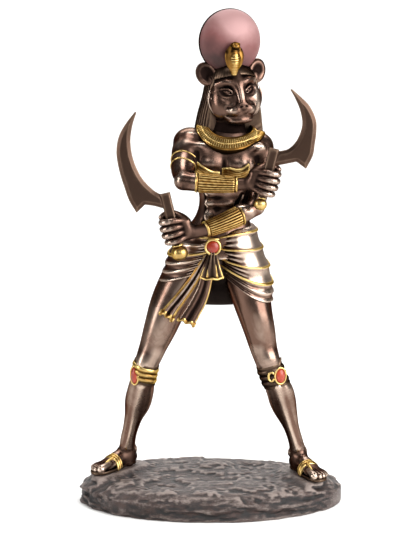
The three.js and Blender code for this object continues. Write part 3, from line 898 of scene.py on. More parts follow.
@dataclass(frozen=True)
class CastMetal(Finish):
    """Cold-cast metal: powder in resin, washed dark in the hollows and rubbed bright on the edges, with
    painted shade and painted highlights laid on by the hollow and tone marks.

    The casting's pits are finer than a pixel, so they are drawn as coarse as they need to show.
    """

    deep: str
    body: str
    worn_and_highlight: str
    tint: str
    roughness: float
    wash_and_shade: float = 0.5
    rub_and_highlight: float = 0.5
    metallic: float = 1.0
    cloud_mm: float = 14.0
    pit_mm: float = 0.7
    bump: float = 0.1
    rim: str = "#ffffff"

    def build(self, tree: NodeTree) -> NodeSocket:
        """Mixes the washed, body and rubbed colours by how far the surface stands out and by the tone mark,
        so that they also carry painted shade and painted highlights.

        Args:
            tree: the material's empty tree.

        Returns:
            The shader's output.
        """
        place = add_node(tree, "ShaderNodeTexCoord").outputs["Object"]
        cloud, pits = (
            add_node(tree, "ShaderNodeTexNoise", {
                "Vector": place, "Scale": metres(width), "Detail": detail, "Roughness": roughness,
            }).outputs["Fac"]
            for width, detail, roughness in ((self.cloud_mm, 4.0, 0.6), (self.pit_mm, 3.0, 0.7))
        )
        uneven = add_node(tree, "ShaderNodeMapRange", {
            "Value": cloud, "From Min": 0.3, "From Max": 0.7, "To Min": -0.18, "To Max": 0.18,
        }).outputs["Result"]
        height = weigh(tree, (("tone", 1.0), ("hollow", 0.55), ("edge", 0.75), (uneven, 1.0)))
        dark, bright = (
            add_node(tree, "ShaderNodeMapRange", {
                "Value": height, "From Min": near, "From Max": far, "To Min": 0.0, "To Max": share,
            }).outputs["Result"]
            for near, far, share in ((-0.08, -0.75, self.wash_and_shade), (0.12, 0.8, self.rub_and_highlight))
        )
        colour = linear(self.body)
        for factor, layer in ((cloud, self.tint), (bright, self.worn_and_highlight), (dark, self.deep)):
            colour = add_node(tree, "ShaderNodeMix", {
                "Factor": factor, 6: colour, 7: linear(layer),
            }, data_type="RGBA").outputs[2]
        dull = add_node(tree, "ShaderNodeMath", {
            0: dark, 1: 0.35, 2: self.roughness,
        }, operation="MULTIPLY_ADD").outputs[0]
        patchy = add_node(tree, "ShaderNodeMath", {
            0: uneven, 1: 0.22, 2: dull,
        }, operation="MULTIPLY_ADD").outputs[0]
        relief = add_node(tree, "ShaderNodeBump", {
            "Height": pits, "Strength": self.bump, "Distance": 0.0002,
        }).outputs["Normal"]
        return add_node(tree, "ShaderNodeBsdfPrincipled", {
            "Base Color": colour, "Metallic": self.metallic, "Roughness": patchy, "Normal": relief,
            "Specular Tint": linear(self.rim),
        }).outputs["BSDF"]


@dataclass(frozen=True)
class BrushedPaint(Finish):
    """Paint laid over cast resin by brush: colour clouds under a clear coat.

    The specks that the brush leaves are finer than a pixel, so they too are drawn coarser.
    """

    deep: str
    body: str
    worn_and_highlight: str
    roughness: float
    metallic: float = 0.0
    coat: float = 0.0
    cloud_mm: float = 9.0
    speck_mm: float = 0.5

    def build(self, tree: NodeTree) -> NodeSocket:
        """Adds paint whose colour follows the edges and a cloud pattern.

        Args:
            tree: the material's empty tree.

        Returns:
            The shader's output.
        """
        place = add_node(tree, "ShaderNodeTexCoord").outputs["Object"]
        cloud = add_node(tree, "ShaderNodeTexNoise", {
            "Vector": place, "Scale": metres(self.cloud_mm), "Detail": 5.0, "Roughness": 0.65,
        }).outputs["Fac"]
        speck = add_node(tree, "ShaderNodeTexNoise", {
            "Vector": place, "Scale": metres(self.speck_mm), "Detail": 2.0,
        }).outputs["Fac"]
        height = weigh(tree, ((cloud, 1.0), ("edge", 0.4), ("tone", 1.0)))
        ramp = add_node(tree, "ShaderNodeValToRGB", {"Fac": height})
        colour = set_stops(ramp, [(0.25, self.deep), (0.5, self.body), (0.8, self.worn_and_highlight)])
        relief = add_node(tree, "ShaderNodeBump", {
            "Height": speck, "Strength": 0.06, "Distance": 0.0002,
        }).outputs["Normal"]
        return add_node(tree, "ShaderNodeBsdfPrincipled", {
            "Base Color": colour, "Metallic": self.metallic, "Roughness": self.roughness,
            "Normal": relief, "Coat Weight": self.coat, "Coat Roughness": 0.12,
        }).outputs["BSDF"]


@dataclass(frozen=True)
class PaintedRock(Finish):
    """Cast resin painted as layered rock: grey-brown dry-brushed over a near-black wash."""

    deep: str
    body: str
    worn_and_highlight: str
    rust: str
    patch_mm: float = 11.0
    grit_mm: float = 1.3
    flatten: tuple[float, float, float] = (1.0, 1.6, 3.5)

    def build(self, tree: NodeTree) -> NodeSocket:
        """Adds dark crevices, which are partly painted shade, dry-brushed edges, rusty patches and a gritty
        bump.

        Args:
            tree: the material's empty tree.

        Returns:
            The shader's output.
        """
        place = add_node(tree, "ShaderNodeTexCoord").outputs["Object"]
        layers = add_node(tree, "ShaderNodeMapping", {
            "Vector": place, "Scale": self.flatten,
        }).outputs["Vector"]
        patch, grit = (
            add_node(tree, "ShaderNodeTexNoise", {
                "Vector": layers, "Scale": metres(width), "Detail": detail, "Roughness": 0.75,
            }).outputs["Fac"]
            for width, detail in ((self.patch_mm, 7.0), (self.grit_mm, 5.0))
        )
        gritty, mottle = (
            add_node(tree, "ShaderNodeMapRange", {
                "Value": noise, "From Min": low, "From Max": 1.0 - low, "To Min": -reach, "To Max": reach,
            }).outputs["Result"]
            for noise, low, reach in ((grit, 0.3, 0.45), (patch, 0.38, 0.22))
        )
        height = weigh(tree, (("tone", 1.0), (mottle, 1.0), (gritty, 1.0), ("edge", 0.5), ("hollow", 0.6)))
        share = add_node(tree, "ShaderNodeMapRange", {
            "Value": height, "From Min": -1.1, "From Max": 1.1,
        }).outputs["Result"]
        ramp = add_node(tree, "ShaderNodeValToRGB", {"Fac": share})
        brushed = set_stops(ramp, [(0.18, self.deep), (0.5, self.body), (0.85, self.worn_and_highlight)])
        rusty = add_node(tree, "ShaderNodeMapRange", {
            "Value": patch, "From Min": 0.5, "From Max": 0.35, "To Min": 0.0, "To Max": 0.5,
        }).outputs["Result"]
        warm = add_node(tree, "ShaderNodeMix", {
            "Factor": rusty, 6: brushed, 7: linear(self.rust),
        }, data_type="RGBA").outputs[2]
        relief = add_node(tree, "ShaderNodeBump", {
            "Height": grit, "Strength": 0.7, "Distance": 0.0006,
        }).outputs["Normal"]
        return add_node(tree, "ShaderNodeBsdfPrincipled", {
            "Base Color": warm, "Metallic": 0.25, "Roughness": 0.45, "Normal": relief,
        }).outputs["BSDF"]


# Bronze powder in polyester resin, cast and rubbed: warm brown, pale on rubbed edges and painted highlights,
# purple-black in hollows and painted shade
BRONZE = CastMetal("cold_cast_bronze", "bronze", deep="#120b0a", body="#71584c", worn_and_highlight="#dcc6b4",
                   tint="#523d34", roughness=0.27, wash_and_shade=0.97, rub_and_highlight=0.7, cloud_mm=26.0, rim="#7e7e82")
# The wig is the same casting, left darker and duller so that its locks read as dark hair
WIG_BRONZE = CastMetal("cold_cast_bronze_dark", "bronze", deep="#0d0908", body="#382b24", worn_and_highlight="#75604f",
                       tint="#2b211c", roughness=0.36, wash_and_shade=0.9, rim="#6c6c6d")
# A nearly black copy of the bronze for the back panel and the lining under the skirt, as painted shade
SHADE_BRONZE = CastMetal("cold_cast_bronze_painted_shade", "bronze", deep="#100c0b", body="#2c2522",
                          worn_and_highlight="#4a403b", tint="#211b19", roughness=0.5, wash_and_shade=0.9, rim="#3c3c3c")
# The blades were rubbed less, which gives a satin even brown with a paler bevel
BLADE = CastMetal("satin_bronze", "blade_bronze", deep="#1c1410", body="#4d3b31", worn_and_highlight="#8f7663",
                  tint="#3d2f28", roughness=0.4, wash_and_shade=0.6, rub_and_highlight=0.4, rim="#7e7e7e")
# Gold powder paint under a brown wash: bright ridges, amber ground, dark seams
GOLD = CastMetal("gold_powder_paint", "gold_paint", deep="#1f1307", body="#936a34", worn_and_highlight="#ebcc84",
                 tint="#6b4b22", roughness=0.31, wash_and_shade=1.0, rub_and_highlight=0.75, cloud_mm=3.0, rim="#a69d86")
# Gloss enamel on the stones: deep orange-red with a wet highlight
ENAMEL = BrushedPaint("red_gloss_enamel", "red_enamel", deep="#3c0802", body="#7e1a07", worn_and_highlight="#a93a16",
                      roughness=0.38, coat=0.15)
# Rose satin paint on the disc: dusty pink with a little metal powder in it
ROSE = BrushedPaint("rose_satin_paint", "rose_disc", deep="#3a2321", body="#6b3f3d", worn_and_highlight="#95716f",
                    roughness=0.55, metallic=0.3, cloud_mm=60.0)
# Painted rock: grey-brown with a purple cast, near black in its cracks
ROCK = PaintedRock("painted_cast_rock", "rock", deep="#120e0d", body="#372a26", worn_and_highlight="#83766f",
                   rust="#4a322a")


# The figure's proportions, shared by the body and by what it wears.
# Stations are x, y, z, half width and half depth.

TORSO = [
    [14, 14, 420, 84, 50], [15, 14, 452, 97, 60], [17, 12, 486, 90, 62], [22, 9, 528, 72, 54],
    [27, 6, 560, 57, 43], [31, 4, 590, 54, 40], [33, 4, 622, 60, 44], [34, 4, 660, 68, 49],
    [35, 4, 697, 74, 48], [37, 6, 722, 66, 38], [39, 8, 742, 40, 32], [41, 6, 762, 33, 33],
    [44, 2, 795, 33, 34],
]
RIGHT_LEG = [
    [-36, 12, 470, 46, 52], [-66, 8, 411, 46, 50], [-89, 4, 366, 41, 45], [-107, 0, 318, 35, 38],
    [-124, -5, 275, 29, 31], [-137, -8, 241, 26, 28], [-144, 1, 208, 26, 27], [-150, 12, 179, 29, 30],
    [-157, 23, 149, 28, 29], [-166, 34, 118, 21, 23], [-174, 44, 86, 17, 18], [-180, 52, 58, 17, 18],
    [-182, 55, 30, 19, 20], [-183, 55, 12, 18, 20],
]
LEFT_LEG = [
    [62, 12, 470, 46, 52], [83, 8, 411, 46, 50], [93, 1, 367, 40, 44], [103, -5, 325, 34, 38],
    [113, -11, 285, 30, 32], [124, -15, 249, 27, 29], [138, -11, 211, 26, 27], [150, -4, 183, 29, 30],
    [158, 4, 154, 28, 29], [167, 8, 126, 23, 24], [177, 11, 96, 17, 18], [186, 15, 66, 16, 17],
    [193, 16, 34, 18, 19], [194, 16, 12, 17, 19],
]
RIGHT_ARM_UPPER = [
    [-40, 4, 716, 33, 32], [-48, -12, 698, 31, 31], [-55, -36, 678, 27, 28], [-57, -62, 659, 23, 24],
    [-54, -81, 648, 18, 19],
]
RIGHT_FOREARM = [
    [-56, -83, 648, 17, 18], [-36, -87, 646, 18, 18], [0, -88, 643, 15.5, 17], [40, -87, 641, 13, 14.5],
    [66, -86, 641, 12, 13], [86, -86, 643, 14, 15],
]
LEFT_ARM_UPPER = [
    [104, 8, 708, 30, 31], [108, 3, 682, 27, 30], [106, -8, 645, 24, 26], [101, -20, 610, 21, 23],
    [94, -32, 588, 19, 20],
]
LEFT_FOREARM = [
    [95, -31, 587, 19, 19], [76, -46, 577, 19, 19], [46, -60, 564, 17, 18], [8, -72, 550, 15, 15],
    [-22, -80, 542, 13, 14], [-50, -86, 540, 14, 16],
]


@dataclass
class Frames:
    """Where the head stands and how it is turned. In its frame x is its left, y back and z up."""

    head_centre: tuple[float, float, float] = (45.0, 10.0, 830.0)
    head_yaw: float = 20.0
    head_roll: float = -5.0

    def head_turn(self) -> Array:
        """The head's rotation."""
        return turn_matrix((0.0, self.head_roll, self.head_yaw))

    def head(self, points: Rows) -> Array:
        """Points of the head's frame as points of the figure."""
        return np.array(points, float) @ self.head_turn().T + np.array(self.head_centre)

    def to_head(self, points: Array) -> Array:
        """Points of the figure in the head's frame."""
        return (points - np.array(self.head_centre)) @ self.head_turn()

    def head_oval(self, centre: Vector, radii: Vector, turns: Vector = (0, 0, 0), side: int = 1) -> Oval:
        """An ellipsoid given in the head's frame.

        Args:
            centre: its middle.
            radii: its radii along its own axes.
            turns: degrees about X, Y and Z.
            side: -1 to mirror it on to the head's right.

        Returns:
            The ellipsoid.
        """
        x, y, z = centre
        about_x, about_y, about_z = turns
        place = self.head([(side * x, y, z)])[0]
        return Oval(place, radii, (about_x, side * about_y, side * about_z), self.head_turn())

    def head_cord(self, rows: Rows, side: int = 1, count: int = 12) -> Cord:
        """A strand given in the head's frame.

        Args:
            rows: x, y, z and radius of each point.
            side: -1 to mirror it on to the head's right.
            count: how many points the smoothed line has.

        Returns:
            The strand.
        """
        table = np.array(rows, float)
        table[:, 0] *= side
        table[:, :3] = self.head(table[:, :3])
        return Cord(table, count=count)


FRAMES = Frames()


@dataclass
class Foot:
    """A foot's place on the ground: heel, heading in degrees, and which side the big toe is."""

    heel: tuple[float, float]
    heading: float
    inner: int

    def at(self, along: float, side: float, up: float) -> list[float]:
        """A point of the foot.

        Args:
            along: how far from the heel.
            side: how far sideways to the big toe.
            up: how high.

        Returns:
            Its x, y and z.
        """
        angle = math.radians(self.heading)
        forward = (math.cos(angle), math.sin(angle))
        inward = (-forward[1] * self.inner, forward[0] * self.inner)
        return [
            self.heel[0] + forward[0] * along + inward[0] * side,
            self.heel[1] + forward[1] * along + inward[1] * side,
            up,
        ]

    def sideways(self) -> Array:
        """The direction towards the big toe."""
        return np.array(self.at(0, 1, 0)) - np.array(self.at(0, 0, 0))


RIGHT_FOOT = Foot((-172.0, 74.0), 230.0, 1)
LEFT_FOOT = Foot((185.0, 34.0), 296.0, -1)


@dataclass
class Body:
    """Torso, arms and legs, bare where they show."""

    voxel: float = 1.6
    leg_voxel: float = 1.45
    leg_top: float = 462.0
    bare_arm: int = 8

    @staticmethod
    def tone(points: Array) -> Array:
        """Painted shade round the neck under the jaw and on the right elbow, over a slighter painted shade on
        the whole trunk.

        Args:
            points: points of the figure.

        Returns:
            The tone at each.
        """
        x, _, z = points.T
        neck = ease(736.0, 756.0, z) * ease(48.0, 36.0, np.abs(x - 44.0))
        elbow = np.exp(-((x + 58.0) / 24.0) ** 2 - ((z - 634.0) / 22.0) ** 2)
        return -0.9 * neck - 0.6 * elbow - 0.22

    def torso(self) -> Clay:
        """The trunk from the hips to the neck, turned a little to its right.

        Returns:
            The trunk's clay.
        """
        clay = Clay().add(Limb(TORSO))
        # Shoulders, breasts, and the muscle from each breast to its shoulder
        clay.add(Oval((-40, 8, 716), (38, 34, 32), (0, 16, 0)), blend=12)
        clay.add(Oval((95, 8, 706), (36, 34, 31), (0, -14, 0)), blend=12)
        for x, z in ((-3, 681), (61, 679)):
            clay.add(Oval((x, -27, z), (34, 26, 29), (-12, 0, 0)), blend=12)
        for x, turn in ((-12, 10), (76, -10)):
            clay.add(Oval((x, -28, 706), (40, 14, 18), (24, turn, 0)), blend=12)
        clay.cut(Cord([[29, -62, 706, 3], [30, -54, 686, 4], [30, -52, 664, 4]], count=8), blend=9)
        # Buttocks
        for x in (-22, 54):
            clay.add(Oval((x, 38, 462), (46, 40, 42)), blend=10)
        # Belly muscles, the groove between them, and the navel
        for side in (-1, 1):
            for z, wide, tall in ((618, 17, 11), (594, 17, 11), (568, 15, 14)):
                clay.add(Oval((17 + side * 15 + (z - 590) * 0.09, -31, z), (wide, 8, tall)), blend=9)
        clay.add(Oval((20, -34, 530), (28, 12, 26)), blend=12)
        groove = [[21, -48, 636, 1.0], [18, -46, 600, 1.6], [17, -46, 560, 1.6], [17, -48, 545, 1.0]]
        clay.cut(Cord(groove, count=12), blend=6)
        clay.cut(Oval((17, -49, 548), (3.5, 6, 4.5)), blend=4)
        # Lower ribs and flanks
        for side in (-1, 1):
            ribs = [[33 + side * 50, -34, 640, 2], [24 + side * 36, -42, 628, 2.6],
                    [20 + side * 12, -46, 640, 1]]
            flank = [[26 + side * 40, -26, 612, 1], [22 + side * 34, -30, 585, 2],
                     [20 + side * 36, -28, 555, 1]]
            clay.cut(Cord(ribs, count=12), blend=7)
            clay.cut(Cord(flank, count=12), blend=8)
        # Spine and shoulder blades
        spine = [[38, 52, 700, 2], [34, 54, 640, 3], [28, 50, 570, 3], [22, 56, 530, 1]]
        clay.cut(Cord(spine, count=16), blend=10)
        for side in (-1, 1):
            clay.add(Oval((34 + side * 34, 36, 676), (24, 12, 32), (0, side * 8, 0)), blend=10)
        return clay

    def right_arm(self) -> Clay:
        """The right arm down to the middle of its bracer.

        Returns:
            The arm's clay.
        """
        clay = Clay().add(Limb(RIGHT_ARM_UPPER))
        clay.add(Oval((-51, -14, 702), (28, 27, 30), (30, 10, 0)), blend=8)
        clay.add(Oval((-47, -44, 680), (18, 25, 16), (38, 0, 0)), blend=6)
        clay.add(Oval((-64, -44, 668), (14, 24, 17), (38, 0, 0)), blend=7)
        clay.add(Limb(smooth_line(RIGHT_FOREARM, 12)[:self.bare_arm], Y_AXIS), blend=8)
        clay.add(Oval((-32, -85, 651), (24, 15, 13), (0, 4, 0)), blend=6)
        clay.add(Oval((-30, -90, 639), (24, 12, 10)), blend=6)
        return clay.add(Oval((-60, -83, 645), (10, 11, 11)), blend=8)

    def left_arm(self) -> Clay:
        """The left arm down to the middle of its bracer.

        Returns:
            The arm's clay.
        """
        clay = Clay().add(Limb(LEFT_ARM_UPPER))
        clay.add(Oval((107, 2, 692), (26, 29, 33), (6, -6, 0)), blend=8)
        clay.add(Oval((103, -20, 642), (17, 15, 26), (14, 4, 0)), blend=6)
        clay.add(Limb(smooth_line(LEFT_FOREARM, 12)[:self.bare_arm], Y_AXIS), blend=8)
        clay.add(Oval((74, -48, 581), (25, 17, 14), (0, 14, 26)), blend=6)
        return clay.add(Oval((102, -27, 583), (11, 12, 12)), blend=7)

    def leg(self, stations: Rows, side: int, foot: Foot) -> Clay:
        """A leg from under the skirt to the toes.

        Args:
            stations: the leg's middle line and girth.
            side: -1 for the right leg, 1 for the left.
            foot: where the foot stands.

        Returns:
            The leg's clay.
        """
        limb = Limb(stations)
        clay = Clay().add(limb)
        top, thigh, above, knee, under, calf, shin, end, ankle = (
            limb.at(share) for share in (0.02, 0.2, 0.32, 0.385, 0.5, 0.6, 0.68, 0.88, 0.885)
        )
        # Thigh muscles and kneecap
        clay.add(Oval(thigh[:3] + (side * 2, -16, 0), (27, 24, 62), (0, side * -20, 0)), blend=16)
        clay.add(Oval(above[:3] + (-side * 7, -10, -2), (15, 18, 26), (0, side * -18, 0)), blend=10)
        clay.add(Oval(knee[:3] + (0, -12, 5), (15, 11, 17), (0, side * -14, 0)), blend=16)
        # Calf muscles, shin, heel tendon and ankle bones
        for lean, back, rise, wide in ((8, 12, 8, 17), (-8, 8, 0, 16)):
            middle = calf[:3] + (side * lean, back, rise)
            clay.add(Oval(middle, (wide, 18, 40), (0, side * -13, 0)), blend=10)
        clay.add(Cord([
            [*(under[:3] + (side, -under[4] + 5, 0)), 6],
            [*(shin[:3] + (-side * 2, -shin[4] + 4, 0)), 5],
            [*(end[:3] + (-side * 2, -end[4] + 4, 0)), 5],
        ], count=14), blend=9)
        clay.add(Cord([
            [*(calf[:3] + (0, 24, -30)), 7],
            [*(ankle[:3] + (0, 14, 20)), 5.5],
            [*(ankle[:3] + (0, 16, -14)), 7],
        ], count=12), blend=7)
        for lean, drop in ((-1, -6), (1, -2)):
            clay.add(Oval(ankle[:3] + (lean * 15, 2, drop - 6), (6, 8, 8)), blend=6)
        self.foot(clay, foot)
        box = ((-400, -400, -10), (400, 400, self.leg_top))
        return clay.keep(Formed(*box, lambda points: points[:, 2] - top[2]))

    def foot(self, clay: Clay, foot: Foot) -> None:
        """Adds a foot with its toes and nails.

        Args:
            clay: the leg.
            foot: where the foot stands.
        """
        # Along from the heel, up, half width and half height
        instep = [
            [4, 16, 15, 13], [22, 19, 18, 18], [46, 19, 18, 17], [70, 15, 20, 12], [92, 11, 22, 8],
            [106, 10, 21, 6],
        ]
        rows = [[*foot.at(along, 0, up), wide, high] for along, up, wide, high in instep]
        clay.add(Limb(rows, foot.sideways()), blend=9)
        # Sideways, along, and the radius of the tip
        toes = [[17, 119, 9.0], [5, 121, 7.0], [-5, 117, 6.4], [-13, 111, 6.0], [-20, 104, 5.5]]
        for side, along, radius in toes:
            toe = [
                [*foot.at(along - 30, side * 0.8, radius + 7), radius * 0.75],
                [*foot.at(along - 10, side, radius + 6), radius * 0.85],
                [*foot.at(along, side, radius + 3), radius],
            ]
            clay.add(Cord(toe, count=7), blend=2.5)
            nail = foot.at(along + radius * 0.55, side, radius * 1.9 + 3)
            clay.cut(Oval(nail, (radius * 0.5, radius * 0.5, 1.6)), blend=1.0)


@dataclass
class Fist:
    """A fist closed round a sword, seen from the back of the hand.

    Fingers are how thick and how far along each is. Knuckles are x, y, the share of the finger's
    height, and radius.
    """

    pitch: float = 14.5
    voxel: float = 1.1
    fingers: tuple = ((0.96, -1.0), (1.0, 0.0), (0.97, -0.5), (0.86, -2.5))
    knuckles: tuple = (
        (-4, -16, 0.96, 7.4), (12, -17, 1, 7.3), (21, -9, 1, 7.0), (22, 4, 1, 6.8), (14, 15, 1, 6.6),
        (1, 18, 1, 6.0),
    )

    def clay(self, wrist: Limb) -> Clay:
        """The hand in its sword's frame: along the knuckles, out to the back of the hand, up the haft.

        Args:
            wrist: the forearm's end, in the same frame.

        Returns:
            The hand's clay.
        """
        clay = Clay().add(wrist)
        clay.add(Oval((-16, -1, 1), (24, 21, 27)), blend=8)
        clay.cut(Oval((-18, -60, 0), (70, 43, 70)), blend=6)
        for finger, (swell, shift) in enumerate(self.fingers):
            up = (1.5 - finger) * self.pitch
            rows = [[-24, -8, up * 0.72, 6.4]]
            rows += [[x + shift, y, up * rise, radius * swell] for x, y, rise, radius in self.knuckles]
            clay.add(Cord(rows, count=16), blend=1.6)
        thumb = [[-30, -4, 12, 9], [-16, 4, 26, 9], [-2, 12, 33, 8.4], [12, 16, 33, 7.4], [20, 14, 30, 6.4]]
        clay.add(Cord(thumb, count=14), blend=4)
        clay.add(Oval((-20, 6, 8), (16, 12, 20)), blend=6)
        for gap in range(len(self.fingers) - 1):
            up = (1.0 - gap) * self.pitch
            seam = [[-8, -24, up * 0.9, 1.2], [2, -26, up, 2.4], [14, -27, up, 1.6], [27, -14, up, 1.6],
                    [31, 2, up, 1.4]]
            clay.cut(Cord(seam, count=14), blend=2.5)
        return clay


@dataclass
class Sword:
    """A sickle sword held in a fist.

    Its own frame is v towards the blade, u up the haft, and t to the front. Each row of the blade
    pairs a point (u, v) on the hollow edge with one on the bowed edge.
    """

    name: str
    hand: str
    node: str
    grip: tuple[float, float, float]
    lean: float
    side: int
    top: float
    bottom: float
    pommel: float
    blade: Sequence[Rows]
    notch: Rows
    voxel: float = 0.95
    cell: float = 0.7
    haft_half: float = 2.8 * MM
    haft_thick: float = 1.7 * MM
    haft_bevel: float = 3.0
    blade_thick: float = 1.4 * MM
    edge_thick: float = 0.3 * MM
    bevel: float = 0.55

    def axes(self) -> Array:
        """Rows are the world directions of v, u and t.

        Returns:
            A 3 by 3 matrix.
        """
        lean = math.radians(self.lean)
        up = np.array([math.sin(lean), 0.0, math.cos(lean)])
        blade = np.array([math.cos(lean), 0.0, -math.sin(lean)]) * self.side
        return np.array([blade, up, [0.0, -1.0, 0.0]])

    def hand_axes(self) -> Array:
        """Rows are the world directions of along the knuckles, back of the hand, and up the haft."""
        blade, up, _ = self.axes()
        return np.array([blade, Y_AXIS, up])

    def to_figure(self, points: Array) -> Array:
        """The sword's frame to the figure's."""
        return points @ self.axes() + np.array(self.grip)

    def outline_distance(self, flat: Array) -> Array:
        """Distances to the blade's and the haft's outline in their plane.

        Args:
            flat: points as v and u.

        Returns:
            A column for the blade and one for the haft, negative inside.
        """
        hollow, bowed = (
            smooth_line([[row[edge][1], row[edge][0]] for row in self.blade], 40) for edge in (0, 1)
        )
        blade = polygon_distance(flat, np.vstack([hollow, bowed[::-1]]))
        notch = polygon_distance(flat, np.array([[v, u] for u, v in self.notch], float))
        middle = (self.top - self.bottom) / 2
        tall = (self.top + self.bottom) / 2
        haft = np.maximum(np.abs(flat[:, 0]) - self.haft_half, np.abs(flat[:, 1] - middle) - tall)
        return np.column_stack([np.maximum(blade, -notch), haft])

    def clay(self) -> Clay:
        """Blade and haft, bevelled to a thin edge, in the sword's frame.

        Returns:
            The piece's clay.
        """
        points = np.array([point[::-1] for row in self.blade for point in row], float)
        low = np.array([min(points[:, 0].min(), -self.haft_half) - 2, -self.bottom - 2])
        high = np.array([points[:, 0].max() + 4, points[:, 1].max() + 4])
        count = np.ceil((high - low) / self.cell).astype(int) + 1
        lines = (low[axis] + self.cell * np.arange(count[axis]) for axis in range(2))
        grid = np.stack(np.meshgrid(*lines, indexing="ij"), axis=-1)
        table = self.outline_distance(grid.reshape(-1, 2)).reshape(*count, 2)

        def form(places: Array) -> Array:
            """The bevelled plate's distance, from the outline's table.

            Args:
                places: where to measure.

            Returns:
                Distances, negative inside.
            """
            place = np.clip((places[:, :2] - low) / self.cell, 0, count - 1.001)
            base = place.astype(int)
            part = place - base
            value = sum(
                table[base[:, 0] + i, base[:, 1] + j]
                * (np.abs(1 - i - part[:, 0]) * np.abs(1 - j - part[:, 1]))[:, None]
                for i in (0, 1) for j in (0, 1)
            )
            flat = np.abs(places[:, 2])
            blade_half = np.minimum(self.blade_thick, self.edge_thick - value[:, 0] * self.bevel)
            haft_half = np.minimum(self.haft_thick, self.haft_thick - self.haft_bevel - value[:, 1])
            blade = np.maximum(value[:, 0], flat - blade_half)
            return blend_min(blade, np.maximum(value[:, 1], flat - haft_half), 2.0)

        thick = self.haft_thick + 1
        return Clay().add(Formed((*low, -thick), (*high, thick), form))

    def build(self, forearm: Rows, share: float) -> None:
        """Makes the sword, its pommel and the fist round it.

        Args:
            forearm: stations of the forearm that holds it.
            share: where along the forearm the hand's own piece starts.
        """
        make_clay(f"{self.name}_blade", self.clay(), self.voxel, BLADE, node=self.node,
                  frame_of=self.to_figure)
        ball = self.pommel
        base = -self.bottom
        pommel = Clay().add(Oval((0, base - ball * 0.55, 0), (ball, ball * 0.94, ball)))
        pommel.add(Oval((0, base + ball * 0.42, 0), (ball * 0.74, ball * 0.22, ball * 0.74)), blend=1.5)
        pommel.cut(Oval((0, base - ball * 1.55, 0), (ball * 0.4, ball * 0.2, ball * 0.4)), blend=2)
        make_clay(f"{self.name}_pommel", pommel, 1.0, GOLD, node=self.node, frame_of=self.to_figure)
        axes = self.hand_axes()
        grip = np.array(self.grip)
        wrist = smooth_rows(forearm, np.linspace(share, 1.0, 6))
        wrist[:, :3] = (wrist[:, :3] - grip) @ axes.T
        fist = Fist()
        # The fist is painted with shade, deeper on the back of the hand
        make_clay(self.hand, fist.clay(Limb(wrist, Y_AXIS)), fist.voxel, BRONZE,
                  tone=lambda points: -0.25 * ease(-4.0, 4.0, (grip - points) @ axes[0]) - 0.35,
                  frame_of=lambda points: points @ axes + grip)


SWORD_LEFT = Sword(
    name="khopesh_left", hand="hand_left", node="khopesh_left_hand", grip=(-75, -87, 545),
    lean=-13.5, side=-1, top=80, bottom=40, pommel=17.5,
    blade=[[[47, 4], [53, 67]], [[74, 6], [82, 76]], [[92, 22], [112, 79]], [[122, 39], [146, 81]],
           [[162, 47], [184, 78]], [[200, 44], [215, 66]], [[232, 32], [238, 46]], [[257, 17], [259, 20]]],
    notch=[[53, 68], [66, 46], [59, 28], [48, 8], [32, 36]],
)
SWORD_RIGHT = Sword(
    name="khopesh_right", hand="hand_right", node="khopesh_right_hand", grip=(116, -87, 646),
    lean=13.8, side=1, top=72, bottom=40, pommel=14.0,
    blade=[[[35, 4], [46, 74]], [[64, 6], [76, 81]], [[78, 28], [102, 79]], [[100, 41], [126, 76]],
           [[132, 44], [150, 69]], [[160, 33], [174, 50]], [[183, 16], [188, 28]], [[198, 2], [200, 5]]],
    notch=[[46, 75], [56, 51], [47, 32], [36, 8], [20, 40]],
)


